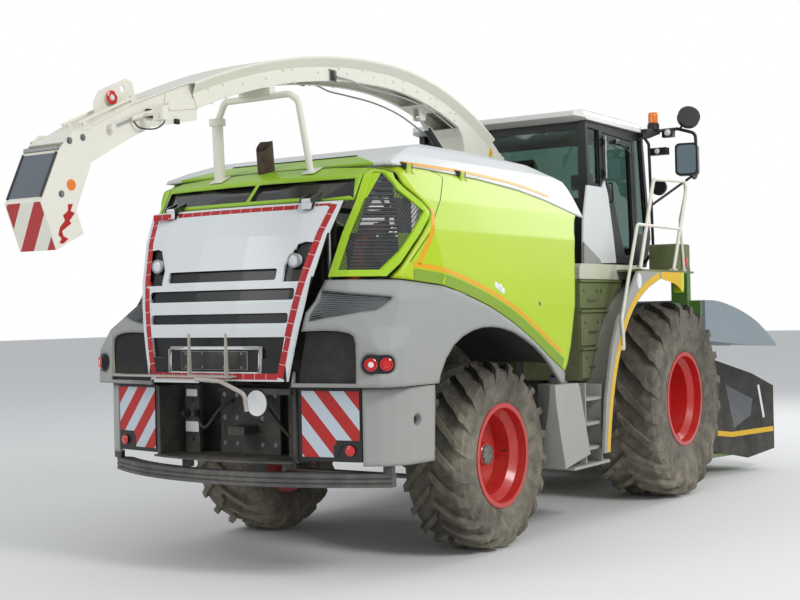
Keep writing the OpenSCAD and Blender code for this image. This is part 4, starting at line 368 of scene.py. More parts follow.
# Finishes of the solids: material, colour, the nodes that wear it, and its other values
SOLID_FINISHES = (
    ("chassis_paint", "#2b2d2f", "chassis_frame tail_frame hood_frame front_axle lift_barrels",
     {"rough": 0.6, "dust": 0.9, "dust_top": 2.2, "grain": 0.15}),
    ("cast_iron", "#3a3b3c", "rear_axle knuckle_left knuckle_right",
     {"rough": 0.65, "metal": 0.4, "dust": 1.0, "dust_top": 2.0, "grain": 0.5, "grain_scale": 160}),
    ("engine_paint", "#6e6b62", "engine_block",
     {"rough": 0.6, "metal": 0.3, "dust": 0.5, "dust_top": 4, "grain": 0.3, "grain_scale": 120}),
    ("housing_green", GREEN, "chopper_housing",
     {"rough": 0.45, "dust": 0.6, "dust_top": 3.0, "grain": 0.1, "coat": 0.2}),
    ("bay_black", "#1b1c1d", "rear_bay", {"rough": 0.55, "dust": 0.45, "dust_top": 2.0, "grain": 0.3}),
    ("bumper_plastic", "#3b3d41", "rear_bumper",
     {"rough": 0.6, "dust": 0.5, "dust_top": 1.6, "grain": 0.5, "grain_scale": 500}),
    ("grey_plastic", GREY, "corner_panels",
     {"rough": 0.5, "tone": 0.08, "dust": 0.35, "dust_top": 1.7, "grain": 0.35, "grain_scale": 600,
      "soft": 0.05}),
    ("liner_black", "#101112", "body_liners", {"rough": 0.75, "dust": 0.3, "dust_top": 2.0, "grain": 0.4}),
    ("leaf_paint", "#b5d200", "side_hood_left side_hood_right",
     {"rough": 0.34, "tone": 0.05, "tone_scale": 1.1, "dust": 0.1, "dust_top": 2.2, "grain": 0.06,
      "coat": 0.2, "soft": 0.05}),
    ("rusty_steel", "#57483d", "exhaust_pipe",
     {"rough": 0.6, "metal": 0.6, "tone": 0.5, "tone_scale": 14, "dust": 0, "grain": 0.6, "grain_scale": 90}),
    ("spout_paint", CREAM, "spout_rest spout_base spout_arm",
     {"rough": 0.38, "tone": 0.05, "tone_scale": 1.6, "dust": 0.1, "dust_top": 4, "grain": 0.08,
      "coat": 0.2}),
    ("cab_black", "#1d1f20", "cab_frame cab_door_left cab_door_right",
     {"rough": 0.45, "dust": 0.2, "dust_top": 3, "grain": 0.15}),
    ("cab_white", WHITE, "cab_panels",
     {"rough": 0.35, "tone": 0.04, "dust": 0.2, "dust_top": 3, "grain": 0.05, "coat": 0.25}),
    ("roof_white", "#e4e5e1", "cab_roof",
     {"rough": 0.35, "tone": 0.05, "dust": 0.1, "dust_top": 4, "coat": 0.25}),
    ("seat_cloth", "#2a2b2e", "cab_seat", {"rough": 0.85, "dust": 0, "grain": 0.6, "grain_scale": 700}),
    ("fender_grey", "#a3a39b", "front_fenders",
     {"rough": 0.5, "tone": 0.08, "dust": 0.5, "dust_top": 2.6, "grain": 0.3, "grain_scale": 500}),
    ("deck_olive", OLIVE, "side_decks",
     {"rough": 0.5, "tone": 0.15, "dust": 0.7, "dust_top": 3.0, "grain": 0.15}),
    ("tank_grey", "#a9aaa6", "service_tanks",
     {"rough": 0.5, "dust": 0.5, "dust_top": 1.9, "grain": 0.3, "grain_scale": 500}),
    ("rail_cream", "#e3e0d2", "access_rails",
     {"rough": 0.35, "tone": 0.08, "dust": 0.15, "dust_top": 3, "coat": 0.2}),
    ("tyre_rubber", "#232322", "tyre_front_left tyre_front_right tyre_rear_left tyre_rear_right",
     {"rough": 0.85, "tone": 0.25, "tone_scale": 3, "dust": 1.15, "dust_top": 3.0, "dust_colour": "#8f8878",
      "grain": 0.5, "grain_scale": 250}),
    ("rim_red", RED, "rim_front_left rim_front_right rim_rear_left rim_rear_right",
     {"rough": 0.3, "tone": 0.1, "dust": 0.25, "dust_top": 1.6, "dust_colour": "#b58a72", "grain": 0.04,
      "coat": 0.4}),
    ("bar_steel", "#6f7072", "steering_bar", {"rough": 0.4, "metal": 0.8, "dust": 0.6}),
    ("rod_chrome", "#c9cacb", "spout_rod lift_rods",
     {"rough": 0.15, "metal": 1.0, "tone": 0.05, "dust": 0.05}),
    ("cylinder_black", "#202122", "spout_barrel", {"rough": 0.4, "dust": 0.1}),
    ("rack_steel", "#b9b5ab", "load_rack",
     {"rough": 0.5, "metal": 0.35, "tone": 0.25, "tone_scale": 7, "dust": 0.2, "grain": 0.2}),
    ("header_green", GREEN, "feeder_house header_frame",
     {"rough": 0.45, "tone": 0.15, "dust": 0.6, "dust_top": 2.2, "grain": 0.12, "coat": 0.2}),
    ("nose_plastic", "#8d9aa3", "header_noses",
     {"rough": 0.5, "tone": 0.12, "dust": 0.4, "dust_top": 2.2, "grain": 0.3}),
    ("guard_black", "#151617", "header_guard", {"rough": 0.7, "dust": 0.3, "dust_top": 1.4, "grain": 0.5}),
    ("rotor_steel", "#6d6e6f", "rotor_left rotor_right",
     {"rough": 0.45, "metal": 0.7, "tone": 0.3, "tone_scale": 8, "dust": 0.4}),
)


def plain(name, colour, **more):
    return Finish(name, colour, **more).done()


def wear(node, material):
    """Gives a solid of the frame its finish."""
    slots = nodes[node].data.materials
    slots.clear()
    slots.append(material)


def dress_solids():
    for name, colour, wearers, more in SOLID_FINISHES:
        material = plain(name, colour, **more)
        for node in wearers.split():
            wear(node, material)


def cab_glazing():
    material = bpy.data.materials.new("cab_glazing")
    material.use_nodes = True
    shader = material.node_tree.nodes["Principled BSDF"]
    shader.inputs["Base Color"].default_value = rgb("#7f9a92")
    shader.inputs["Roughness"].default_value = 0.03
    shader.inputs["Transmission Weight"].default_value = 1.0
    shader.inputs["IOR"].default_value = 1.45
    wear("cab_glass", material)


dress_solids()
cab_glazing()


# Tools for the pieces

class Build:
    """Gathers the closed shapes of one piece; each takes the slot of its material."""

    SHARES = (-0.5, -0.17, 0.17, 0.5)  # places across a band where it is pressed onto the solids

    def __init__(self):
        self.mesh = bmesh.new()

    def closed(self, faces, slot=0, bevel=0.0):
        for face in faces:
            face.material_index = slot
        bmesh.ops.recalc_face_normals(self.mesh, faces=faces)
        if bevel:
            edges = list({edge for face in faces for edge in face.edges})
            bmesh.ops.bevel(self.mesh, geom=edges, offset=bevel, segments=2, profile=0.5, affect="EDGES",
                            clamp_overlap=True)
        return self

    def prism(self, outline, along, slot=0, bevel=0.0):
        """A flat outline pushed along a vector."""
        low = [self.mesh.verts.new(p) for p in outline]
        high = [self.mesh.verts.new(Vector(p) + Vector(along)) for p in outline]
        faces = [self.mesh.faces.new(low), self.mesh.faces.new(high[::-1])]
        for i in range(len(low)):
            j = (i + 1) % len(low)
            faces.append(self.mesh.faces.new((low[i], low[j], high[j], high[i])))
        return self.closed(faces, slot, bevel)

    def box(self, low, high, slot=0, bevel=0.003):
        (x0, y0, z0), (x1, y1, z1) = low, high
        floor = [(x0, y0, z0), (x1, y0, z0), (x1, y1, z0), (x0, y1, z0)]
        return self.prism(floor, (0, 0, z1 - z0), slot, bevel)

    def turned(self, centre, axis, profile, slot=0, sides=32):
        """A turned shape: rows of distance along the axis and radius."""
        axis = Vector(axis).normalized()
        u = axis.orthogonal().normalized()
        v = axis.cross(u)
        rings = []
        for along, radius in profile:
            middle = Vector(centre) + axis * along
            turns = [2 * math.pi * i / sides for i in range(sides)] if radius > 1e-6 else [0]
            rings.append([self.mesh.verts.new(middle + (u * math.cos(t) + v * math.sin(t)) * radius)
                          for t in turns])
        return self.closed(self.skin_rings(rings), slot)

    def skin_rings(self, rings):
        faces = []
        for a, b in zip(rings, rings[1:]):
            count = max(len(a), len(b))
            for i in range(count):
                j = (i + 1) % count
                quad = list(dict.fromkeys((a[i % len(a)], a[j % len(a)], b[j % len(b)], b[i % len(b)])))
                if len(quad) > 2:
                    faces.append(self.mesh.faces.new(quad))
        for ring in (rings[0], rings[-1]):
            if len(ring) > 2:
                faces.append(self.mesh.faces.new(ring))
        return faces

    def tube(self, points, radius, slot=0, sides=12):
        """A round bar along a line of points."""
        path = [Vector(p) for p in points]
        rings, side = [], None
        for i, p in enumerate(path):
            ahead = (path[min(i + 1, len(path) - 1)] - path[max(i - 1, 0)]).normalized()
            side = ahead.orthogonal() if side is None else side - ahead * side.dot(ahead)
            side.normalize()
            other = ahead.cross(side)
            width = radius(i / (len(path) - 1)) if callable(radius) else radius
            rings.append([self.mesh.verts.new(p + (side * math.cos(t) + other * math.sin(t)) * width)
                          for t in [2 * math.pi * k / sides for k in range(sides)]])
        return self.closed(self.skin_rings(rings), slot)

    def band(self, line, width, way, names, slot=0, lift=0.0015, step=0.03, reach=0.02):
        """A thin strip laid on solids: the line is seen along a direction and pressed onto them."""
        way = Vector(way).normalized()
        stations = spaced(line, step)
        uv = self.mesh.loops.layers.uv.verify()
        rings, marks, run = [], {}, 0.0
        last = None
        for i, p in enumerate(stations):
            ahead = (stations[min(i + 1, len(stations) - 1)] - stations[max(i - 1, 0)]).normalized()
            side = way.cross(ahead).normalized()
            run += (p - stations[i - 1]).length if i else 0.0
            spots = [on_skin(names, p + side * width * share, way) for share in self.SHARES]
            if None in spots:
                continue
            for spot in spots:
                depth = spot.dot(way)
                if last is not None and abs(depth - last) > reach:
                    spot -= way * (depth - last)
                    depth = last
                last = depth
            tucked = way * 0.0005
            top = [(spot - way * lift, share + 0.5) for spot, share in zip(spots, self.SHARES)]
            ring = []
            for spot, across in [(spots[0] + tucked, 0.0)] + top + [(spots[-1] + tucked, 1.0)]:
                vert = self.mesh.verts.new(spot)
                marks[vert] = (run, across)
                ring.append(vert)
            rings.append(ring)
        faces = self.skin_rings(rings)
        for face in faces:
            for loop in face.loops:
                loop[uv].uv = marks[loop.vert]
        return self.closed(faces, slot)

    def make(self, name, body, *materials, crease=35):
        data = bpy.data.meshes.new(name)
        self.mesh.to_mesh(data)
        self.mesh.free()
        for material in materials:
            data.materials.append(material)
        data.polygons.foreach_set("use_smooth", [True] * len(data.polygons))
        data.set_sharp_from_angle(angle=math.radians(crease))
        return add(bpy.data.objects.new(name, data), body)


def add(piece, body):
    bpy.context.scene.collection.objects.link(piece)
    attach(piece, body)
    return piece


def baked(form):
    """Plain mesh of an object with its modifiers applied; the object itself goes."""
    graph = bpy.context.evaluated_depsgraph_get()
    mesh = bpy.data.meshes.new_from_object(form.evaluated_get(graph))
    bpy.data.objects.remove(form)
    return mesh


def spaced(line, step):
    """Points along a line, no further apart than the step, with its corners kept."""
    points = [Vector(line[0])]
    for p in line[1:]:
        a, b = points[-1], Vector(p)
        count = max(1, math.ceil((b - a).length / step))
        points += [a.lerp(b, k / count) for k in range(1, count + 1)]
    return points


def curve(points, steps=6):
    """A smooth line through the points."""
    p = [Vector(q) for q in points]
    out = []
    for i in range(len(p) - 1):
        a, b, c, d = p[max(i - 1, 0)], p[i], p[i + 1], p[min(i + 2, len(p) - 1)]
        for k in range(steps):
            t = k / steps
            out.append(0.5 * (2 * b + (c - a) * t + (2 * a - 5 * b + 4 * c - d) * t * t
                              + (3 * b - a - 3 * c + d) * t ** 3))
    return out + [p[-1]]


SKINS = {}


def skin(node):
    if node not in SKINS:
        data = nodes[node].data
        faces = [face.vertices[:] for face in data.polygons]
        SKINS[node] = BVHTree.FromPolygons([vert.co for vert in data.vertices], faces)
    return SKINS[node]


def on_skin(names, start, way, lift=0.0):
    """Where a line first meets one of the solids, lifted off against its direction."""
    found = None
    for name in names:
        hit, _, _, far = skin(name).ray_cast(Vector(start), way, 30)
        if hit is not None and (found is None or far < found[1]):
            found = (hit, far)
    return found and found[0] - way * lift


def sort_faces(node, rule, *materials):
    """Gives the faces of a solid their materials: the rule turns a face's centre and normal into a slot."""
    data = nodes[node].data
    data.materials.clear()
    for material in materials:
        data.materials.append(material)
    for face in data.polygons:
        face.material_index = rule(face.center, face.normal)


def inside(outline, x, z, margin):
    """Whether a point lies inside an outline, at least a margin from its edges."""
    odd = False
    for (ax, az), (bx, bz) in zip(outline, outline[1:] + outline[:1]):
        if (az > z) != (bz > z) and x < (bx - ax) * (z - az) / (bz - az) + ax:
            odd = not odd
        length = math.hypot(bx - ax, bz - az)
        share = max(0.0, min(1.0, ((x - ax) * (bx - ax) + (z - az) * (bz - az)) / length ** 2))
        if math.hypot(x - ax - share * (bx - ax), z - az - share * (bz - az)) < margin:
            return False
    return odd


# Bolts, as one tree of nodes that sets a hexagon head with its washer on every point

def make_bolt_tree():
    tree = bpy.data.node_groups.new("bolt_heads", "GeometryNodeTree")
    tree.interface.new_socket("Geometry", in_out="INPUT", socket_type="NodeSocketGeometry")
    for label, value in (("Head Radius", 0.012), ("Head Height", 0.009), ("Washer Radius", 0.017)):
        tree.interface.new_socket(label, in_out="INPUT", socket_type="NodeSocketFloat").default_value = value
    tree.interface.new_socket("Material", in_out="INPUT", socket_type="NodeSocketMaterial")
    tree.interface.new_socket("Geometry", in_out="OUTPUT", socket_type="NodeSocketGeometry")
    start, end = tree.nodes.new("NodeGroupInput"), tree.nodes.new("NodeGroupOutput")
    parts = tree.nodes.new("GeometryNodeJoinGeometry")
    for sides, radius, depth in ((6, "Head Radius", "Head Height"), (20, "Washer Radius", None)):
        shape = tree.nodes.new("GeometryNodeMeshCylinder")
        shape.inputs["Vertices"].default_value = sides
        tree.links.new(start.outputs[radius], shape.inputs["Radius"])
        if depth:
            tree.links.new(start.outputs[depth], shape.inputs["Depth"])
        else:
            shape.inputs["Depth"].default_value = 0.004
        place = tree.nodes.new("GeometryNodeTransform")
        tree.links.new(shape.outputs["Mesh"], place.inputs["Geometry"])
        if depth:
            join = tree.nodes.new("ShaderNodeCombineXYZ")
            tree.links.new(math_node(tree, "MULTIPLY", start.outputs[depth], 0.5), join.inputs["Z"])
            tree.links.new(join.outputs[0], place.inputs["Translation"])
        tree.links.new(place.outputs["Geometry"], parts.inputs["Geometry"])
    spread = tree.nodes.new("GeometryNodeInstanceOnPoints")
    way = tree.nodes.new("GeometryNodeInputNamedAttribute")
    way.data_type = "FLOAT_VECTOR"
    way.inputs["Name"].default_value = "way"
    align = tree.nodes.new("FunctionNodeAlignRotationToVector")
    tree.links.new(way.outputs["Attribute"], align.inputs["Vector"])
    tree.links.new(start.outputs["Geometry"], spread.inputs["Points"])
    tree.links.new(parts.outputs["Geometry"], spread.inputs["Instance"])
    tree.links.new(align.outputs[0], spread.inputs["Rotation"])
    real = tree.nodes.new("GeometryNodeRealizeInstances")
    paint = tree.nodes.new("GeometryNodeSetMaterial")
    tree.links.new(spread.outputs["Instances"], real.inputs["Geometry"])
    tree.links.new(real.outputs["Geometry"], paint.inputs["Geometry"])
    tree.links.new(start.outputs["Material"], paint.inputs["Material"])
    tree.links.new(paint.outputs["Geometry"], end.inputs["Geometry"])
    return tree


BOLT_TREE = make_bolt_tree()


def bolts(name, body, spots, material, radius=0.012, height=0.009, washer=0.017):
    """Bolt heads at points, each with the direction that it looks in."""
    data = bpy.data.meshes.new(name + "_points")
    data.from_pydata([tuple(p) for p, _ in spots], [], [])
    way = data.attributes.new("way", "FLOAT_VECTOR", "POINT")
    way.data.foreach_set("vector", [c for _, w in spots for c in Vector(w).normalized()])
    cloud = bpy.data.objects.new(name + "_points", data)
    bpy.context.scene.collection.objects.link(cloud)
    modifier = cloud.modifiers.new("bolt_heads", "NODES")
    modifier.node_group = BOLT_TREE
    values = {"Head Radius": radius, "Head Height": height, "Washer Radius": washer, "Material": material}
    for item in BOLT_TREE.interface.items_tree:
        if item.in_out == "INPUT" and item.name in values:
            modifier[item.identifier] = values[item.name]
    return add(bpy.data.objects.new(name, baked(cloud)), body)


# Shape of the rear end, as in the part's source: height, distance behind the rear axle

TAIL_PROFILE = [(0.70, 1.850), (1.40, 1.852), (1.70, 1.840), (2.00, 1.800), (2.22, 1.740), (2.45, 1.650),
                (2.64, 1.540), (2.75, 1.460), (2.835, 1.360), (2.901, 1.219)]
BOW_R = 5.9


def between(table, value):
    for (a, x), (b, y) in zip(table, table[1:]):
        if value <= b:
            return x + (y - x) * max(0.0, value - a) / (b - a)
    return table[-1][1]


def tail_x(y, z, proud=0.0):
    """Outer face of the rear end, whose bow is made of flats that turn by four degrees each."""
    turns = [math.radians(4 * k) for k in range(4)]
    reach = min((BOW_R + proud - abs(y) * math.sin(t)) / math.cos(t) for t in turns)
    return REAR - between(TAIL_PROFILE, z) + BOW_R - reach


def tail_w(z):
    """Half width of the rear panel."""
    return 0.640 + (z - 1.385) * 0.260 / 1.243


# Finishes of the trim

def make_shared():
    shared = {
        "black": plain("trim_black", "#141516", rough=0.35, dust=0.15, dust_top=3.0, grain=0.1),
        "rubber": plain("hose_rubber", "#1c1c1d", rough=0.6, dust=0.2, dust_top=3.0, grain=0.3),
        "zinc": plain("zinc_bolts", "#8f9192", rough=0.4, metal=0.9, tone=0.3, tone_scale=20, dust=0.3,
                      dust_top=4.0),
        "cream": plain("cream_bolts", CREAM, rough=0.4, dust=0.1),
        "chrome": plain("trim_chrome", "#d2d4d5", rough=0.12, metal=1.0, tone=0.04, dust=0.05),
        "grey": plain("trim_grey", GREY, rough=0.5, dust=0.3, grain=0.2),
        "white": plain("blank_white", "#e9ebeb", rough=0.4, tone=0.04, dust=0.1),
        "yellow": plain("yellow_film", YELLOW, rough=0.4, tone=0.1, tone_scale=6, dust=0.1),
        "orange": plain("orange_film", "#e9a800", rough=0.38, tone=0.12, tone_scale=4, dust=0.05, coat=0.2),
        "leaf": plain("leaf_plastic", LEAF, rough=0.4, dust=0.1, dust_top=3.0, coat=0.2),
        # Darker lime: painted shade for the side hoods' turned-under lower edge in shadow.
        "lime": plain("lime_underside_shade", "#7fa310", rough=0.4, tone=0.08, dust=0.15, coat=0.2),
        "seam": plain("seam_shadow", "#3a4a12", rough=0.8, dust=0.0),
        "blue": plain("blue_cap", "#1f57b5", rough=0.4, dust=0.3),
    }
    shared["hub_red"] = plain("hub_red", "#b01410", rough=0.4, dust=0.2, dust_top=2.0)
    shared["red_glass"] = lens("red_lens", "#d0100c", 0.25)
    shared["clear_glass"] = lens("clear_lens", "#dfe4e8", 0.15)
    shared["amber_glass"] = lens("amber_lens", "#ee7a0a", 0.3)
    shared["mirror"] = plain("mirror_glass", "#7f9196", rough=0.06, metal=1.0, tone=0.02, dust=0.0)
    return shared


def lens(name, colour, relief):
    """Moulded lamp glass with its fine prisms."""
    finish = Finish(name, colour, rough=0.12, tone=0.12, tone_scale=30, dust=0.0, coat=0.8)
    wave = finish.tree.nodes.new("ShaderNodeTexWave")
    wave.inputs["Scale"].default_value = 60
    finish.tree.links.new(finish.place, wave.inputs["Vector"])
    bump = finish.tree.nodes.new("ShaderNodeBump")
    bump.inputs["Strength"].default_value = relief
    bump.inputs["Distance"].default_value = 0.002
    finish.tree.links.new(wave.outputs["Fac"], bump.inputs["Height"])
    finish.tree.links.new(bump.outputs["Normal"], finish.shader.inputs["Normal"])
    return finish.done()


def tape_finish():
    """Red reflecting tape in squares, its thin white joints along the strip."""
    square, joint_share = 0.096, 0.035
    finish = Finish("reflecting_tape", "#b3171d", rough=0.35, tone=0.12, tone_scale=25, dust=0.1)
    uv = finish.tree.nodes.new("ShaderNodeUVMap")
    split = finish.tree.nodes.new("ShaderNodeSeparateXYZ")
    finish.tree.links.new(uv.outputs[0], split.inputs[0])
    part = math_node(finish.tree, "FRACT", math_node(finish.tree, "DIVIDE", split.outputs["X"], square))
    cover = math_node(finish.tree, "LESS_THAN", part, joint_share)
    finish.colour = finish.mix(cover, finish.colour, rgb("#e8d9d9"))
    return finish.done()


SHARED = make_shared()


# Rear panel and the body round it

def tail_face(c, n):
    """Slot of a face of the rear panel: 1 for the dark louvres, the lower recess and the hinge pockets."""
    skin_x = tail_x(c.y, c.z, 0.034)
    louvre = c.x > skin_x + 0.02
    recess = -3.1155 < c.x < -3.101 and c.z < 1.62
    hinge_pocket = c.z > 2.57 and 0.599 < abs(c.y) < 0.681 and c.x > skin_x - 0.02
    return int(louvre or recess or hinge_pocket)


def dress_tail():
    """Tape, lamps and the blank plate of the rear panel."""
    white = plain("tail_white", "#dbe0e2", rough=0.33, tone=0.05, dust=0.2, dust_top=2.6, grain=0.05,
                  coat=0.25)
    black = plain("louvre_black", "#050606", rough=0.28, tone=0.3, dust=0.04, dust_top=2.6)
    sort_faces("tailgate", tail_face, white, black)
    edge = 0.058
    top_y = tail_w(2.585) - edge - 0.02
    strips = Build()
    for sign in (-1, 1):
        strips.band([(-4, sign * (tail_w(z) - edge), z) for z in (1.405, 2.605)], 0.05, AHEAD, ["tailgate"])
    strips.band([(-4, -top_y, 2.590), (-4, top_y, 2.590)], 0.045, AHEAD, ["tailgate"])
    strips.band([(-4, -0.57, 1.418), (-4, 0.57, 1.418)], 0.042, AHEAD, ["tailgate"])
    strips.make("tail_tape", "tailgate", tape_finish())
    lamps = Build()
    for sign in (-1, 1):
        centre = (-3.0025, sign * 0.640, 2.215)
        lamps.turned(centre, BACK, [(-0.012, 0), (-0.012, 0.051), (0.005, 0.051), (0.007, 0.044),
                                    (0.003, 0.041), (0.003, 0)], 0)
        lamps.turned(centre, BACK, [(0.001, 0), (0.001, 0.040), (0.005, 0.034), (0.007, 0.020),
                                    (0.0075, 0)], 1)
    lamps.make("tail_lamps", "tailgate", SHARED["grey"], SHARED["clear_glass"])
    plate = Build()
    outline = [(-0.425, 1.452), (-0.395, 1.436), (0.395, 1.436), (0.425, 1.452), (0.425, 1.602),
               (0.395, 1.618), (-0.395, 1.618), (-0.425, 1.602), (-0.425, 1.452)]
    plate.tube([(-3.112, y, z) for y, z in outline], 0.011, 0, 10)
    plate.box((-3.120, -0.31, 1.462), (-3.113, 0.31, 1.594), 1)
    plate.make("plate_surround", "tailgate", SHARED["grey"], SHARED["black"])
    spots = [((-3.122, y, z), BACK) for y in (-0.26, -0.10, 0.10, 0.26) for z in (1.480, 1.576)]
    bolts("plate_bolts", "tailgate", spots, SHARED["zinc"], 0.007, 0.006, 0.010)


CAP_LIME = "#97c41c"
HOOD_BACK = 2.165  # the white hood ends this far behind the origin


def cap_face(c, n):
    """Slot of a face of the roof cap: 1 for its two panes and the rubber round the panel's hinges."""
    pane = 2.66 < c.z < 2.80 and abs(c.y) < 0.895 and tail_x(c.y, c.z) + 0.02 < c.x < -2.5
    lug = c.z < 2.70 and 0.584 < abs(c.y) < 0.696 and c.x < -2.725 and c.z < 2.655 + (c.x + 2.852) * 0.6
    return int(pane or lug)


def dress_cap():
    paint = plain("cap_paint", CAP_LIME, rough=0.35, tone=0.08, dust=0.1, coat=0.2, soft=0.04)
    glass = plain("cap_panes", "#0f1112", rough=0.12, tone=0.3, dust=0.08, dust_top=6.0, coat=0.6)
    sort_faces("roof_cap", cap_face, paint, glass)
    strip = Build()
    strip.band([(-HOOD_BACK, y, 4) for y in (-0.60, 0.60)], 0.016, DOWN, ["hood_top"], 0, lift=0.006)
    strip.band([(-2.440, y, 4) for y in (-0.88, 0.88)], 0.010, DOWN, ["roof_cap"], 0, lift=0.002)
    strip.make("cap_rubber_strips", "chassis", SHARED["rubber"])
    white = Finish("white_paint", "#dcdfdf", rough=0.35, tone=0.04, dust=0.15, dust_top=3.5, grain=0.05,
                   coat=0.2, soft=0.04)
    white.patch(CAP_LIME, ("side_both", (-0.789, -0.614, 0.0), 1.346), ("side", (-1.0, 0.0, 0.0), HOOD_BACK))
    wear("hood_top", white.done())


# Outline of a corner screen in the side view: x from the rear axle, height
SCREEN = [(-1.900, 2.101), (-1.345, 2.097), (-1.096, 2.385), (-0.948, 2.560), (-1.140, 2.733),
          (-1.194, 2.885), (-1.900, 2.885)]
SCREEN_EDGE = 0.0452


def screen_face(c, n):
    """Slot of a face of a corner screen: 1 for the pierced sheet inside the painted frame."""
    return int(inside(SCREEN, c.x - REAR, c.z, SCREEN_EDGE) and abs(c.y) > tail_w(c.z) + 0.0693)


def dress_screens():
    """Pierced sheets, and what shows behind them: intake hose, fan, cooler and pipes."""
    frame_paint = plain("screen_paint", "#a9d21c", rough=0.35, dust=0.12, coat=0.3)
    sheet = Finish("pierced_sheet", "#33363a", rough=0.5, metal=0.1, tone=0.2, dust=0.25, dust_top=4.0)
    holes = sheet.mask(("holes", 0.011, 0.37))
    cover = math_node(sheet.tree, "SUBTRACT", 1.0, math_node(sheet.tree, "MULTIPLY", holes, 0.85))
    sheet.tree.links.new(cover, sheet.shader.inputs["Alpha"])
    sort_faces("corner_screens", screen_face, frame_paint, sheet.done())
    hose = Build()
    path = curve([(-2.66, -0.86, 2.02), (-2.60, -0.90, 2.18), (-2.585, -0.90, 2.30), (-2.53, -0.93, 2.395),
                  (-2.45, -0.965, 2.44), (-2.35, -0.98, 2.455)], 16)
    hose.tube(path, lambda t: 0.040 + 0.003 * math.sin(t * 330), 0, 20)
    hose.make("intake_hose", "chassis", plain("hose_orange", "#e2623a", rough=0.6, tone=0.2, tone_scale=15,
                                              dust=0.2, dust_top=4.0, grain=0.2))
    fan = Build()
    centre = Vector((-2.42, -1.02, 2.30))
    way = Vector((-0.55, -0.83, 0))
    fan.turned(centre, way, [(0, 0), (0, 0.105), (0.03, 0.105), (0.03, 0.088), (0.012, 0.084), (0.012, 0.04),
                             (0.035, 0.035), (0.035, 0)], 0)
    spokes = 10
    for i in range(spokes):
        turn = Matrix.Rotation(i * 2 * math.pi / spokes, 4, way)
        inner, outer = turn @ Vector((0.0, 0.0, 0.035)), turn @ Vector((0.0, 0.0, 0.086))
        fan.tube([centre + inner + way * 0.028, centre + outer + way * 0.024], 0.006, 0, 6)
    fan.make("fan_cap", "chassis", plain("fan_grey", "#8c8f8f", rough=0.5, metal=0.3, dust=0.2, dust_top=4.0))
    core = Build()
    core.box((-2.66, -0.60, 2.02), (-2.52, 0.60, 2.56), 0, 0.006)
    for y0, y1, z0, z1 in ((-0.64, 0.64, 1.99, 2.03), (-0.64, 0.64, 2.55, 2.60), (-0.65, -0.60, 1.99, 2.60),
                           (0.60, 0.65, 1.99, 2.60)):
        core.box((-2.69, y0, z0), (-2.50, y1, z1), 1, 0.008)
    fins = plain("cooler_fins", "#1b1c1d", rough=0.8, dust=0.2, dust_top=4.0, grain=0.8, grain_scale=120)
    core.make("cooler_core", "chassis", fins, SHARED["black"])
    pipes = Build()
    pipes.tube([(-2.80, -0.80, 1.95), (-2.79, -0.79, 2.45), (-2.70, -0.76, 2.62)], 0.014, 0)
    pipes.tube([(-2.35, -0.60, 2.05), (-2.36, -0.95, 2.10), (-2.36, -1.00, 2.62)], 0.018, 0)
    pipes.make("bay_pipes", "chassis", SHARED["zinc"])


# Lower edge of a side hood in the side view: x from the rear axle, height
HOOD_EDGE = [(-1.318, 2.083), (-1.0, 2.040), (-0.66, 1.968), (-0.33, 1.876), (0.0, 1.756), (0.3, 1.620),
             (0.58, 1.473), (0.86, 1.335)]


def side_curve(line, steps):
    """A smooth line through the points of a side view."""
    return [(p.x, p.y) for p in curve([(x, z, 0) for x, z in line], steps)]


def raised(line, d):
    """The same line in the side view, moved up across its direction."""
    out = []
    for i, (x, z) in enumerate(line):
        (ax, az), (bx, bz) = line[max(i - 1, 0)], line[min(i + 1, len(line) - 1)]
        length = math.hypot(bx - ax, bz - az)
        out.append((x - d * (bz - az) / length, z + d * (bx - ax) / length))
    return out


def beside(line, y):
    """Points of a side view, x from the rear axle, set out at a distance from the centre line."""
    return [(REAR + x, y, z) for x, z in line]


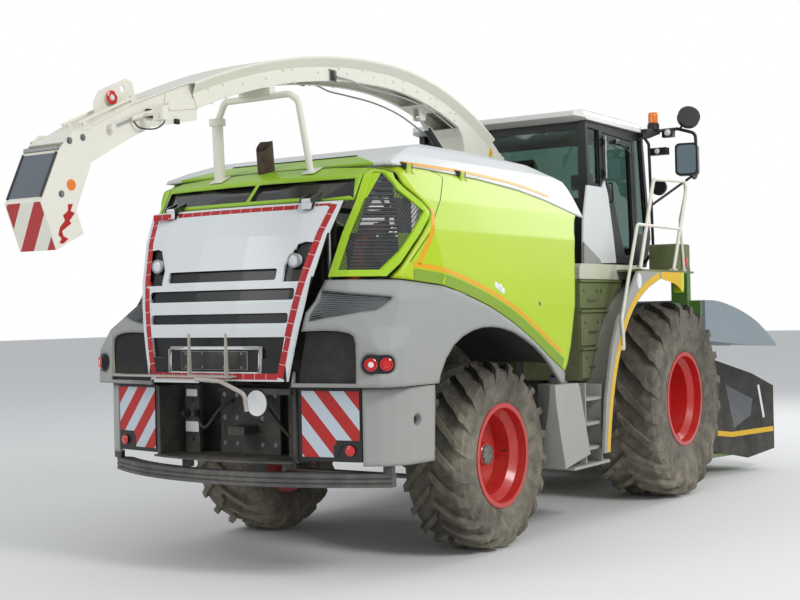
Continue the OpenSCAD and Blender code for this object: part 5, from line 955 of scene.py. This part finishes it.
def dress_hoods():
    """Coloured lines, a band of painted shade along the lower edge, a line of painted seam shadow, side lamp
    and latch of each side hood, and the lines of the white hood.
    """
    low = side_curve(HOOD_EDGE, 4)
    orange_low = raised([p for p in low if -1.19 < p[0] < 0.80], 0.112)
    orange_rear = [(-0.915, 2.585), (-0.92, 2.525), (-1.03, 2.33), (-1.125, 2.178)]
    underside_shade_low = raised([p for p in low if -1.25 < p[0] < 0.855], 0.044)
    seam = [(-0.72, 2.884), (-0.60, 2.872), (-0.55, 2.838), (-0.72, 2.68), (-0.89, 2.535), (-1.19, 2.195)]
    on_screen = [(-1.205, 2.865), (-1.157, 2.716), (-0.985, 2.563)]
    white_line = side_curve([(-1.02, 2.917), (-0.784, 2.917), (-0.2, 2.917), (0.39, 2.892), (0.78, 2.853),
                             (1.12, 2.803)], 6)
    for side, sign in SIDES:
        node = "side_hood_" + side
        way = Vector((0, -sign, 0))
        out = sign * 2.0
        face_out = (0, sign, 0.14)
        trim = Build()
        trim.band(beside(orange_low, out), 0.034, way, [node], 0)
        trim.band(beside(orange_rear, out), 0.034, way, [node], 0)
        # Lime band: painted shade, the hood's turned-under lower edge in shadow, drawn as a darker green
        # band.
        trim.band(beside(underside_shade_low, out), 0.080, way, [node], 1, lift=0.001)
        # Dark line of painted shadow in the seam of the hood.
        trim.band(beside(seam, out), 0.006, way, [node], 2, lift=0.0012)
        trim.make("hood_lines_" + side, node, SHARED["orange"], SHARED["lime"], SHARED["seam"])
        frame_line = Build()
        frame_line.band(beside(on_screen, out), 0.030, way, ["corner_screens"], 0)
        frame_line.make("screen_line_" + side, "chassis", SHARED["orange"])
        marks = Build()
        centre = on_skin([node], Vector((-1.402, out, 2.020)), way)
        marks.turned(centre, face_out, [(-0.001, 0), (-0.001, 0.026), (0.006, 0.024), (0.009, 0.015),
                                        (0.010, 0)], 0)
        marks.band([(-1.475, out, 2.045), (-1.345, out, 1.985)], 0.046, way, [node], 1, lift=0.003)
        marks.make("hood_side_lamp_" + side, node, SHARED["clear_glass"], SHARED["white"])
        latch = on_skin([node], Vector((-0.790, out, 1.890)), way)
        bolts("hood_latch_" + side, node, [(latch, face_out)], SHARED["zinc"], 0.012, 0.004, 0.017)
    white = Build()
    for sign in (-1, 1):
        white.band(beside(white_line, sign * 2.0), 0.026, (0, -sign, 0), ["hood_top"], lift=0.004, reach=0.1)
    white.make("white_hood_lines", "chassis", SHARED["orange"])


# Corners of a side grille seen from behind: y, height
GRILLE_LOW = ((0.772, 1.790), (1.172, 1.862))
GRILLE_HIGH = ((0.795, 2.005), (1.205, 1.952))


def grille_point(sign, t, s, lift):
    """Place on a side grille: t runs outwards and s upwards, each from 0 to 1."""
    low = [a + t * (b - a) for a, b in zip(*GRILLE_LOW)]
    high = [a + t * (b - a) for a, b in zip(*GRILLE_HIGH)]
    y, z = (a + (b - a) * s for a, b in zip(low, high))
    return on_skin(["body_liners"], Vector((-4, sign * y, z)), AHEAD, lift)


def dress_corners():
    """Grilles and recess trim of the grey rear corners."""
    uprights, rows, wire = 27, 13, 0.0022
    for side, sign in SIDES:
        mesh = Build()
        for k in range(uprights):
            t = (k + 0.5) / uprights
            mesh.tube([grille_point(sign, t, s, 0.004) for s in (0, 0.25, 0.5, 0.75, 1)], wire, 0, 5)
        for k in range(rows):
            s = (k + 0.5) / rows
            mesh.tube([grille_point(sign, i / 12, s, 0.007) for i in range(13)], wire, 0, 5)
        mesh.make("side_grille_" + side, "chassis", plain("grille_" + side, "#8d9193", rough=0.45, metal=0.5,
                                                          tone=0.3, tone_scale=9, dust=0.3))
        trim = Build()
        trim.band([(-4, sign * y, z) for y, z in ((0.71, 1.573), (0.90, 1.580), (1.08, 1.590))], 0.020, AHEAD,
                  ["body_liners"], 0, lift=0.004)
        trim.make("recess_trim_" + side, "chassis", SHARED["grey"])


def board_face(c, n):
    """Slot of a face of the rear signals: 1 for the striped face of a warning board."""
    y = abs(c.y)
    on_front = n.x < -0.6 and c.x < -3.005 + (y - 0.65) * 0.1634
    return int(0.68 < y < 1.135 and 0.866 < c.z < 1.3185 and on_front)


def dress_signals():
    """Striped warning boards and the rear lamps."""
    finish = Finish("board_film", "#121314", rough=0.4, dust=0.1)
    field = ("box_both", (None, 0.684, 0.866), (None, 1.130, 1.320))
    finish.patch("#c4cfd9", field)
    finish.patch("#b8130f", field, ("bars_both", (0.0, 0.763, 0.647), 0.174, 0.5, -1.274))
    for y, z in ((0.925, 0.955), (0.945, 0.985)):
        finish.patch("#121314", ("box_both", (None, y, 0.80), (None, 1.2, z)))
    sort_faces("rear_signals", board_face, plain("signal_black", BLACK, rough=0.4, dust=0.1), finish.done())
    bezel = [(-0.002, 0), (-0.002, 0.044), (0.004, 0.044), (0.008, 0.036), (0.004, 0.034), (0.004, 0)]
    glass = [(0.002, 0), (0.002, 0.034), (0.010, 0.028), (0.013, 0)]
    clear = [(0.006, 0), (0.006, 0.021), (0.015, 0.018), (0.017, 0)]
    reflector = [(-0.002, 0), (-0.002, 0.036), (0.004, 0.036), (0.006, 0.030), (0.009, 0.026), (0.014, 0.012),
                 (0.015, 0)]
    lamps = Build()
    for sign in (-1, 1):
        way = Vector((-0.788, sign * 0.6157, 0))
        along = Vector((0.6157, sign * 0.788, 0))
        base = Vector((-2.94, sign * 1.29, 1.5)) + way * 0.0195
        inner, outer = base - along * 0.052, base + along * 0.052
        for centre in (inner, outer):
            lamps.turned(centre, way, bezel, 1)
            lamps.turned(centre, way, glass, 1)
        lamps.turned(inner, way, clear, 2)
        side = Vector((-0.987, sign * 0.1614, 0))
        foot = Vector((-3.002 + 0.405 * 0.1614, sign * (0.6506 + 0.405 * 0.987), 0.915)) + side * 0.0135
        lamps.turned(foot, side, reflector, 1)
    lamps.make("rear_lamps", "chassis", SHARED["black"], SHARED["red_glass"], SHARED["clear_glass"])


def dress_bay():
    """Blank sign, bolts, couplings and hoses of the dark bay."""
    sign = Build()
    place = (-3.0502, -0.330, 1.228)
    sign.turned(place, BACK, [(0, 0), (0, 0.0985), (0.002, 0.0985), (0.002, 0.090), (0.0015, 0.090),
                              (0.0015, 0)], 0, 48)
    sign.turned(place, BACK, [(0.0012, 0), (0.0012, 0.0895), (0.0028, 0.0895), (0.0028, 0)], 1, 48)
    sign.make("blank_round_sign", "chassis", SHARED["black"], SHARED["white"])
    spots = [((-2.7302, y, z), BACK) for y in (-0.24, -0.12, 0.12, 0.24) for z in (0.90, 1.09, 1.26)]
    spots += [((-2.6265, y, z), BACK) for y in (-0.58, 0.58, -0.38, 0.38) for z in (0.88, 1.05, 1.28)]
    bolts("bay_bolts", "chassis", spots, SHARED["zinc"], 0.011, 0.008, 0.017)
    fittings = Build()
    for y in (0.44, 0.54):
        fittings.turned((-2.8105, y, 1.12), BACK, [(0, 0), (0, 0.030), (0.03, 0.030), (0.03, 0.022),
                                                   (0.055, 0.020), (0.055, 0)], 0, 24)
    fittings.box((-2.815, 0.425, 0.98), (-2.812, 0.555, 1.06), 1)
    fittings.box((-2.815, 0.435, 1.245), (-2.812, 0.545, 1.30), 1)
    fittings.make("bay_fittings", "chassis", SHARED["black"], SHARED["white"])
    hoses = Build()
    hoses.tube(curve([(-2.74, 0.16, 1.22), (-2.82, 0.22, 1.15), (-2.84, 0.34, 1.02), (-2.83, 0.43, 1.10),
                      (-2.82, 0.44, 1.12)], 8), 0.012, 0)
    hoses.tube(curve([(-2.74, -0.10, 1.27), (-2.80, -0.20, 1.20), (-2.81, -0.38, 1.02), (-2.76, -0.50, 0.90),
                      (-2.64, -0.55, 0.86)], 8), 0.014, 0)
    hoses.make("bay_hoses", "chassis", SHARED["rubber"])


# Spout

# Arcs of the spout's crest, as in the part's source: both meet at the crest
CREST_X = REAR + 0.150
CREST_Z = 3.894
REAR_ARC_R = 6.350
FRONT_ARC_R = 3.650


def arc_point(radius, drop, degrees):
    """Place under the crest's arc, in the side view."""
    angle = math.radians(degrees)
    reach = radius - drop
    return CREST_X + reach * math.cos(angle), CREST_Z - radius + reach * math.sin(angle)


def dress_spout():
    """Bolts, lamps, lines, marks and the flap's drive on the arm."""
    rear_pairs = (93.0, 96.0, 101.5, 102.5, 109.0, 110.5)
    front_pairs = (85.5, 77, 71.5)
    spots = []
    for t in (91.5, 93.0, 95.0, 96.0, 98.5, 101.5, 102.5, 104.5, 107.0, 109.0, 110.5):
        drops = (0.085, 0.18) if t in rear_pairs else (0.12,)
        spots += [arc_point(REAR_ARC_R, drop, t) for drop in drops]
    for t in (88, 85.5, 82, 78.5, 77, 73, 71.5):
        drops = (0.09, 0.155) if t in front_pairs else (0.12,)
        spots += [arc_point(FRONT_ARC_R, drop, t) for drop in drops]
    heads = [((x, sign * 0.1502, z), (0, sign, 0)) for x, z in spots for sign in (-1, 1)]
    bolts("spout_bolts", "spout_arm", heads, SHARED["cream"], 0.009, 0.007, 0.013)
    lamp = Build()
    for sign in (-1, 1):
        centre, way = (-4.085, sign * 0.0225, 3.268), (0, sign, 0)
        lamp.turned(centre, way, [(-0.001, 0), (-0.001, 0.046), (0.008, 0.046), (0.012, 0.036),
                                  (0.006, 0.034), (0.006, 0)], 0)
        lamp.turned(centre, way, [(0.004, 0), (0.004, 0.022), (0.012, 0.016), (0.013, 0)], 1)
    for sign in (-1, 1):
        lamp.box((-3.957, sign * 0.285 - 0.018, 3.122), (-3.952, sign * 0.335 + 0.018, 3.190), 1, 0.001)
    lamp.make("spout_lamps", "spout_arm", SHARED["red_glass"], SHARED["clear_glass"])
    dress_clamp()
    dress_flap_drive()


def side_box(mesh, sign, x, z, y, thick, slot, bevel):
    """A box on one side of the machine, from a distance y outwards."""
    ends = sorted((sign * y, sign * (y + thick)))
    mesh.box((x[0], ends[0], z[0]), (x[1], ends[1], z[1]), slot, bevel)


def dress_clamp():
    """Clamp round the duct, the lines that leave it, and two yellow marks."""
    clamp = Build()
    clamp.box((-1.89, -0.158, 3.742), (-1.80, 0.158, 3.750), 1, 0.002)
    for sign in (-1, 1):
        side_box(clamp, sign, (-1.88, -1.80), (3.660, 3.745), 0.1515, 0.012, 1, 0.002)
        line = [(-1.80, 0.16, 3.700), (-1.60, 0.172, 3.690), (-1.45, 0.170, 3.665), (-1.20, 0.168, 3.66),
                (-0.80, 0.168, 3.645), (-0.40, 0.167, 3.585), (0.00, 0.166, 3.46)]
        clamp.tube(curve([(x, sign * y, z) for x, y, z in line], 6), 0.007, 0)
    for sign in (-1, 1):
        mark = [(0.600, 3.245), (0.655, 3.215), (0.690, 3.330), (0.640, 3.375)]
        clamp.prism([(x, sign * 0.1502, z) for x, z in mark], (0, sign * 0.001, 0), 2)
    clamp.make("spout_clamp_and_lines", "spout_arm", SHARED["grey"], SHARED["black"], SHARED["yellow"])


def dress_flap_drive():
    """Small cylinder with its hose on each side, which tilts the flap."""
    drive = Build()
    for sign in (-1, 1):
        y = sign * 0.137
        axle = y + sign * 0.022
        drive.tube([(-4.05, axle, 3.12), (-3.72, axle, 3.24)], 0.016, 1)
        drive.tube([(-4.20, axle, 3.055), (-4.05, axle, 3.12)], 0.008, 2)
        for centre, radius in (((-4.22, y, 3.045), 0.024), ((-3.70, y, 3.245), 0.022)):
            drive.turned(centre, (0, sign, 0), [(0, 0), (0, radius), (0.04, radius), (0.04, 0)], 1, 20)
        hose = [(-3.80, 0.025, 3.215), (-3.76, 0.04, 3.14), (-3.84, 0.035, 3.08), (-3.98, 0.03, 3.07),
                (-4.03, 0.025, 3.11)]
        drive.tube(curve([(x, y + sign * out, z) for x, out, z in hose], 8), 0.005, 0)
        side_box(drive, sign, (-3.90, -3.83), (3.150, 3.205), 0.137, 0.03, 0, 0.004)
        side_box(drive, sign, (-3.63, -3.59), (3.135, 3.170), 0.137, 0.02, 0, 0.003)
    drive.make("flap_drive", "spout_arm", SHARED["rubber"], SHARED["cream"], SHARED["chrome"])


def dress_flap():
    """Stripes, marks, a grey-blue sheet of painted shade on the flap's back, and the bolts of the flap."""
    finish = Finish("flap_paint", CREAM, rough=0.38, tone=0.05, tone_scale=1.6, dust=0.1, dust_top=4,
                    grain=0.08, coat=0.2)
    finish.patch("#b3121a", ("box", (None, -0.154, 2.26), (-4.665, 0.154, 2.545)),
                 ("bars", (0.0, 0.74, 0.67), 0.176, 0.5, -1.5425))
    wear("spout_flap", finish.done())
    zigzag = [(-4.600, 2.540), (-4.560, 2.545), (-4.580, 2.500), (-4.545, 2.490), (-4.590, 2.440),
              (-4.575, 2.425), (-4.650, 2.375), (-4.640, 2.345), (-4.600, 2.330), (-4.640, 2.300),
              (-4.672, 2.300), (-4.655, 2.330), (-4.680, 2.350), (-4.665, 2.400), (-4.625, 2.440),
              (-4.640, 2.470), (-4.600, 2.500)]
    dot = [(-0.001, 0), (-0.001, 0.036), (0.003, 0.034), (0.004, 0)]
    marks = Build()
    for sign in (-1, 1):
        y = sign * 0.1622
        marks.turned((REAR - 3.320, y, 2.660), (0, sign, 0), dot, 0, 32)
        marks.prism([(x, y, z) for x, z in zigzag], (0, sign * 0.0012, 0), 1)
    marks.make("flap_dots", "spout_flap", SHARED["amber_glass"], SHARED["hub_red"])
    top, foot = Vector((REAR - 3.405, 0, 2.880)), Vector((REAR - 3.560, 0, 2.545))
    run = (foot - top).normalized()
    out = Vector((run.z, 0, -run.x))

    def on_back(margin, y, lift):
        """Ends of a line down the flap's back, a margin short of its edges."""
        aside = Vector((0, y, 0)) + out * lift
        return [top + run * margin + aside, foot - run * margin + aside]

    edges = Build()
    for sign in (-1, 1):
        edges.tube(on_back(0.03, sign * 0.148, 0.006), 0.007, 0)
    edges.box((REAR - 3.415, -0.156, 2.868), (REAR - 3.385, 0.156, 2.895), 1)
    edges.make("flap_edges", "spout_flap", SHARED["black"], SHARED["grey"])
    # The grey-blue sheet is painted shade: the flap's back in shadow, drawn as a darker sheet over the cream
    # paint.
    pane = Build()
    pane.prism(on_back(0.035, -0.138, 0.0015) + on_back(0.035, 0.138, 0.0015)[::-1], out * 0.003, 0)
    pane.make("flap_back_shade_sheet", "spout_flap", plain("flap_back_painted_shade", "#59636e", rough=0.55, tone=0.1, dust=0.2,
                                                dust_top=5.0))
    places = ((3.220, 2.960), (3.33, 2.93), (3.40, 2.60))
    heads = [((REAR - x, sign * 0.1625, z), (0, sign, 0)) for x, z in places for sign in (-1, 1)]
    bolts("flap_bolts", "spout_flap", heads, SHARED["zinc"], 0.014, 0.010, 0.022)


# Cab: places counted from the foot of its rear wall

CAB_X = 1.15
CAB_Z = 2.25


def in_cab(x, y, z):
    return CAB_X + x, y, CAB_Z + z


def dress_seat():
    """Crowned pads with a sewn channel along their middle."""
    fabric = plain("seat_fabric", "#3a3c40", rough=0.9, tone=0.15, tone_scale=60, dust=0.0, grain=0.9,
                   grain_scale=900)
    for name, low, high, lean in (
            ("seat_pad", in_cab(0.335, -0.240, 0.385), in_cab(0.800, 0.240, 0.455), 0.0),
            ("seat_back_pad", in_cab(0.262, -0.230, 0.430), in_cab(0.345, 0.230, 0.985), -0.16)):
        middle = (Vector(low) + Vector(high)) / 2
        size = Vector(high) - Vector(low)
        mesh = bmesh.new()
        bmesh.ops.create_cube(mesh, size=1.0)
        bmesh.ops.subdivide_edges(mesh, edges=mesh.edges[:], cuts=3, use_grid_fill=True)
        for vert in mesh.verts:
            q = vert.co.copy()
            pinch = 1 - 0.05 * (abs(q.x * 2) ** 4 + abs(q.y * 2) ** 4)
            vert.co = Vector((q.x * size.x * pinch, q.y * size.y * pinch, q.z * size.z * pinch))
            vert.co.x += vert.co.z * lean
            channel = 0.010 * math.exp(-((q.y * 2) / 0.12) ** 2)
            if lean and q.x > 0.4:
                vert.co.x -= channel
            if not lean and q.z > 0.4:
                vert.co.z -= channel
            vert.co += middle
        data = bpy.data.meshes.new(name)
        mesh.to_mesh(data)
        mesh.free()
        data.materials.append(fabric)
        data.polygons.foreach_set("use_smooth", [True] * len(data.polygons))
        form = bpy.data.objects.new(name, data)
        bpy.context.scene.collection.objects.link(form)
        soft = form.modifiers.new("round", "SUBSURF")
        soft.levels = soft.render_levels = 2
        add(bpy.data.objects.new(name, baked(form)), "chassis")


def pane_face(c, n):
    """Slot of a face of a cab door: 1 for its pane."""
    return int(0.888 < abs(c.y) < 0.8975 and abs(n.y) > 0.9)


def dress_door(side, sign):
    """Grab rail, wiper and wiper motor of a door, and its pane."""
    node = "cab_door_" + side
    door = Build()
    rail = ((0.352, 0.84), (0.345, 1.10), (0.338, 1.245))
    door.tube([in_cab(x, sign * 0.938, z) for x, z in rail], 0.012, 0)
    wiper = ((0.62, 0.930, 1.215), (0.78, 0.945, 1.18), (0.95, 0.935, 1.12))
    door.tube(curve([in_cab(x, sign * y, z) for x, y, z in wiper], 6), 0.007, 1)
    side_box(door, sign, (CAB_X + 0.58, CAB_X + 0.65), (CAB_Z + 1.195, CAB_Z + 1.235), 0.921, 0.029, 1, 0.003)
    door.make("door_trim_" + side, node, SHARED["chrome"], SHARED["black"])
    sort_faces(node, pane_face, nodes[node].data.materials[0], nodes["cab_glass"].data.materials[0])


def mirror_outline(half_w, half_h, corner):
    """Outline with round corners, in the plane across x."""
    outline = []
    corners = ((half_w, half_h), (-half_w, half_h), (-half_w, -half_h), (half_w, -half_h))
    for quarter, (y, z) in enumerate(corners):
        for k in range(4):
            a = math.radians(90 * quarter + 30 * k)
            outline.append((-0.0465, y - math.copysign(corner, y) + corner * math.cos(a),
                            z - math.copysign(corner, z) + corner * math.sin(a)))
    return outline


MIRROR_LAMPS = (((4.009, 1.060, 3.645), 0.036, 0.008), ((3.663, 1.085, 3.420), 0.028, 0.006))
BEACON_FOOT = [(0, 0.0), (0, 0.0535), (0.012, 0.0555), (0.016, 0.0535), (0.016, 0)]
DECK_REFLECTOR = [(-0.001, 0), (-0.001, 0.043), (0.006, 0.040), (0.010, 0.02), (0.011, 0)]


def dress_mirrors(side, sign):
    """Main mirror, wide-angle mirror, work lamps, beacon foot and reflector of a side."""
    glass = Build()
    turn = Matrix.Rotation(math.radians(-12 * sign), 3, "Z")
    centre = Vector((REAR + 3.960, sign * 1.290, 3.345))
    outline = mirror_outline(0.094, 0.144, 0.034)
    glass.prism([centre + turn @ Vector(p) for p in outline], turn @ Vector((-0.003, 0, 0)), 0)
    way = (0.048, sign * -0.032, -0.020)
    glass.turned((REAR + 4.160, sign * 1.230, 3.790), way, [(-0.001, 0), (-0.001, 0.104), (0.002, 0.104),
                                                            (0.006, 0)], 0, 40)
    glass.make("mirror_glass_" + side, "chassis", SHARED["mirror"])
    lamp = Build()
    for (x, y, z), radius, depth in MIRROR_LAMPS:
        lamp.turned((REAR + x, sign * y, z), BACK, [(-0.001, 0), (-0.001, radius), (depth, radius * 0.8),
                                                    (depth * 1.2, 0)], 0, 28)
    lamp.turned((REAR + 3.900, sign * 0.955, 3.7245), UP, BEACON_FOOT, 2, 36)
    lamp.turned((REAR + 3.700, sign * 1.3581, 2.290), (0, sign, 0), DECK_REFLECTOR, 3, 32)
    lamp.make("cab_lamps_" + side, "chassis", SHARED["clear_glass"], SHARED["amber_glass"], SHARED["black"],
              SHARED["red_glass"])


def beacon_face(c, n):
    return int(c.z > 3.7245 and abs(abs(c.y) - 0.955) < 0.07 and abs(c.x - REAR - 3.9) < 0.07)


def panel_face(c, n):
    low_corner = c.z < 2.46 and c.x < 1.36 and abs(n.y) < 0.5 and abs(c.y) > 0.93
    return int(abs(c.y) > 0.9385 or low_corner)


def deck_face(c, n):
    return int(2.103 < c.z < 2.244 and abs(c.y) < 1.2035 and c.x < 1.595)


def dress_cab():
    """Two-coloured solids of the cab and the decks, and the driver's controls."""
    dress_seat()
    for side, sign in SIDES:
        dress_door(side, sign)
        dress_mirrors(side, sign)
    sort_faces("mirror_set", beacon_face, plain("mirror_black", BLACK, rough=0.45, dust=0.1, grain=0.2),
               plain("beacon_amber", "#f07d08", rough=0.15, tone=0.15, tone_scale=12, dust=0.0, coat=0.6))
    sort_faces("cab_panels", panel_face, nodes["cab_panels"].data.materials[0], SHARED["grey"])
    sort_faces("side_decks", deck_face, nodes["side_decks"].data.materials[0],
               plain("deck_cream", "#cfd0b8", rough=0.5, tone=0.1, dust=0.5, dust_top=3.5))
    controls = Build()
    for low, high, bevel in (
            ((1.20, -0.40, 0.34), (1.30, 0.40, 0.40), 0.01),
            ((0.42, -0.36, 0.45), (0.80, -0.27, 0.53), 0.02),
            ((0.715, -0.345, 0.65), (0.785, -0.285, 0.74), 0.02),
            ((0.95, -0.50, 0.80), (0.99, -0.27, 0.96), 0.008)):
        controls.box(in_cab(*low), in_cab(*high), 0, bevel)
    controls.tube([in_cab(0.74, -0.315, 0.52), in_cab(0.75, -0.315, 0.66)], 0.014, 0)
    controls.tube([in_cab(0.97, -0.40, 0.80), in_cab(0.90, -0.36, 0.50)], 0.010, 0)
    controls.make("cab_controls", "chassis", SHARED["black"])


# Fenders, steps and rails

# Arch of a front fender in the side view: x from the rear axle, height
FENDER = [(1.592, 0.599), (1.630, 0.830), (1.685, 1.060), (1.765, 1.290), (1.880, 1.510), (2.035, 1.725),
          (2.240, 1.895), (2.498, 2.020), (2.813, 2.112), (3.089, 2.150), (3.372, 2.158)]


def dress_fenders():
    """Yellow band, its leaf-green tip and a blank oval on each front fender."""
    arch = raised([p for p in side_curve(FENDER, 4) if p[0] < 2.84], 0.036)
    apron = [(2.80, 2.1745), (2.80, 2.108), (2.90, 2.095), (3.02, 2.082), (3.14, 2.062), (3.23, 2.035),
             (3.305, 1.998), (3.305, 2.1745)]
    tip = [(3.305, 1.998), (3.335, 1.980), (3.352, 1.990), (3.368, 2.03), (3.371, 2.1745), (3.305, 2.1745)]
    for side, sign in SIDES:
        trim = Build()
        trim.band(beside(arch, sign * 2), 0.062, (0, -sign, 0), ["front_fenders"], 0, step=0.05)
        for slot, outline in ((0, apron), (1, tip)):
            trim.prism(beside(outline, sign * 1.4556), (0, sign * 0.004, 0), slot)
        trim.prism(beside(tip[:-1], sign * 1.38), (0, sign * 0.0752, 0), 1)
        trim.make("fender_band_" + side, "chassis", SHARED["yellow"], SHARED["leaf"])
        oval = Build()
        turns = [2 * math.pi * k / 32 for k in range(32)]
        outline = [(2.290 + 0.048 * math.cos(t), 2.085 + 0.072 * math.sin(t)) for t in turns]
        oval.prism(beside(outline, sign * 1.4552), (0, sign * 0.002, 0), 0)
        oval.make("blank_oval_" + side, "chassis", SHARED["white"])


def dress_decks():
    """Box handles and latches, grip bars on the steps, and the tanks' caps."""
    spots = []
    details = Build()
    for sign in (-1, 1):
        for i, z in enumerate((1.41, 1.72, 2.00)):
            y = sign * (1.2222 - 0.006 * i)
            spots += [((REAR + x, y, z), (0, sign, 0)) for x in (1.64, 1.90)]
            proud = y + sign * 0.02
            handle = ((1.70, y), (1.70, proud), (1.86, proud), (1.86, y))
            details.tube([(REAR + x, out, z - 0.08) for x, out in handle], 0.006, 0, 8)
        for z in (0.640, 0.850, 1.060):
            for k in range(9):
                y = sign * (1.10 + 0.034 * k)
                low, high = (REAR + 1.275, y - 0.006, z + 0.0245), (REAR + 1.545, y + 0.006, z + 0.030)
                details.box(low, high, 1, 0.001)
        details.turned((REAR + 0.867, sign * 1.300, 1.2795), UP, [(0, 0), (0, 0.041), (0.010, 0.043),
                                                                  (0.016, 0.038), (0.017, 0)], 2, 24)
        details.tube([(REAR + 0.867, sign * y, 1.297) for y in (1.262, 1.338)], 0.007, 2, 8)
    details.make("deck_details", "chassis", SHARED["zinc"], SHARED["grey"], SHARED["blue"])
    bolts("deck_latches", "chassis", spots, SHARED["zinc"], 0.010, 0.006, 0.016)


def dress_header():
    """Yellow band, white marks and the clear panes of the road guard."""
    node = ["header_guard"]
    side_line = [(4.80, 0.475), (5.10, 0.435), (5.90, 0.440)]
    white_mark = [(5.62, 0.95), (5.72, 0.58)]
    guard = Build()
    for sign in (-1, 1):
        way = (0, -sign, 0)
        guard.band(beside(side_line, sign * 2.5), 0.055, way, node, 0, lift=0.003)
        guard.band(beside(white_mark, sign * 2.5), 0.035, way, node, 2, lift=0.003)
    guard.band([(6.5, y, 0.44) for y in (-1.42, 1.42)], 0.055, BACK, node, 0, lift=0.003, step=0.1)
    guard.make("guard_band", "header", SHARED["yellow"], SHARED["black"], SHARED["white"])
    pane = Build()
    corners = [(5.00, 0.98), (5.50, 0.80), (5.46, 0.62), (5.14, 0.50)]
    for sign in (-1, 1):
        way = Vector((0, -sign, 0))
        points = [on_skin(node, p, way, 0.0005) for p in beside(corners, sign * 2.5)]
        pane.prism(points, (0, sign * 0.002, 0), 0)
    pane.make("guard_panes", "header", plain("guard_film", "#39414a", rough=0.15, dust=0.3, dust_top=1.5,
                                             coat=0.5))


def dress_wheels():
    """Hub caps with their bolts, and valve stems."""
    rear_cap = [(-0.002, 0), (-0.002, 0.080), (0.010, 0.078), (0.018, 0.060), (0.020, 0.030), (0.014, 0.026),
                (0.014, 0)]
    front_cap = [(-0.002, 0), (-0.002, 0.150), (0.008, 0.146), (0.012, 0.090), (0.030, 0.080), (0.034, 0)]
    bolt_circle, bolt_n = 0.066, 8
    for side, sign in SIDES:
        out = (0, sign, 0)
        rear = Vector((REAR, sign * 1.1401, 0.725))
        hub = Build()
        hub.turned(rear, out, rear_cap, 0, 40)
        hub.make("hub_cap_rear_" + side, "wheel_rear_" + side, SHARED["zinc"])
        turns = [2 * math.pi * (k + 0.5) / bolt_n for k in range(bolt_n)]
        spots = [(rear + Vector((bolt_circle * math.cos(a), sign * 0.012, bolt_circle * math.sin(a))), out)
                 for a in turns]
        bolts("hub_bolts_rear_" + side, "wheel_rear_" + side, spots, SHARED["zinc"], 0.007, 0.008, 0.009)
        front = Build()
        front.turned((FRONT, sign * 1.1901, 0.945), out, front_cap, 0, 48)
        front.make("hub_cap_front_" + side, "wheel_front_" + side, SHARED["hub_red"])
        stem = Build()
        stem.tube([(REAR + 0.285, sign * y, 0.725) for y in (1.10, 1.15)], 0.006, 0, 8)
        stem.make("valve_rear_" + side, "wheel_rear_" + side, SHARED["black"])


for dress in (dress_tail, dress_cap, dress_screens, dress_hoods, dress_corners, dress_signals, dress_bay,
              dress_spout, dress_flap, dress_cab, dress_fenders, dress_decks, dress_header, dress_wheels):
    dress()


# Floor, backdrop and lights

def place_floor():
    mesh = bpy.data.meshes.new("studio_floor")
    mesh.from_pydata([(-60, -60, 0), (80, -60, 0), (80, 80, 0), (-60, 80, 0)], [], [(0, 1, 2, 3)])
    floor = bpy.data.objects.new("studio_floor", mesh)
    bpy.context.scene.collection.objects.link(floor)
    material = bpy.data.materials.new("studio_floor")
    material.use_nodes = True
    shader = material.node_tree.nodes["Principled BSDF"]
    shader.inputs["Base Color"].default_value = (0.82, 0.82, 0.81, 1)
    shader.inputs["Roughness"].default_value = 0.9
    mesh.materials.append(material)


def light_sky():
    """Pale sky light; the camera and light through glass see plain white."""
    world = bpy.data.worlds.new("studio_sky")
    world.use_nodes = True
    bpy.context.scene.world = world
    tree = world.node_tree
    tree.nodes.clear()
    out = tree.nodes.new("ShaderNodeOutputWorld")
    light = tree.nodes.new("ShaderNodeBackground")
    light.inputs["Color"].default_value = (0.93, 0.96, 1.0, 1)
    light.inputs["Strength"].default_value = 0.6
    seen = tree.nodes.new("ShaderNodeBackground")
    seen.inputs["Color"].default_value = (1, 1, 1, 1)
    path = tree.nodes.new("ShaderNodeLightPath")
    rays = math_node(tree, "MAXIMUM", path.outputs["Is Camera Ray"], path.outputs["Is Transmission Ray"])
    mix = tree.nodes.new("ShaderNodeMixShader")
    tree.links.new(rays, mix.inputs[0])
    tree.links.new(light.outputs[0], mix.inputs[1])
    tree.links.new(seen.outputs[0], mix.inputs[2])
    tree.links.new(mix.outputs[0], out.inputs[0])


def hang_lamps():
    for name, place, aim, size, power in (
            ("sun_side", (-4.0, -14.0, 11.0), (0.5, 0, 1.2), 5.0, 1150),
            ("sky_fill", (-14.0, 6.0, 9.0), (-1, 0, 1.5), 8.0, 500),
            ("front_fill", (13.0, -3.0, 8.0), (1, 0, 1.5), 8.0, 500)):
        data = bpy.data.lights.new(name, "AREA")
        data.shape = "DISK"
        data.size = size
        data.energy = power
        lamp = bpy.data.objects.new(name, data)
        lamp.location = place
        lamp.rotation_mode = "QUATERNION"
        lamp.rotation_quaternion = (Vector(aim) - Vector(place)).to_track_quat("-Z", "Y")
        bpy.context.scene.collection.objects.link(lamp)


place_floor()
light_sky()
hang_lamps()
bpy.context.scene.view_settings.view_transform = "Standard"
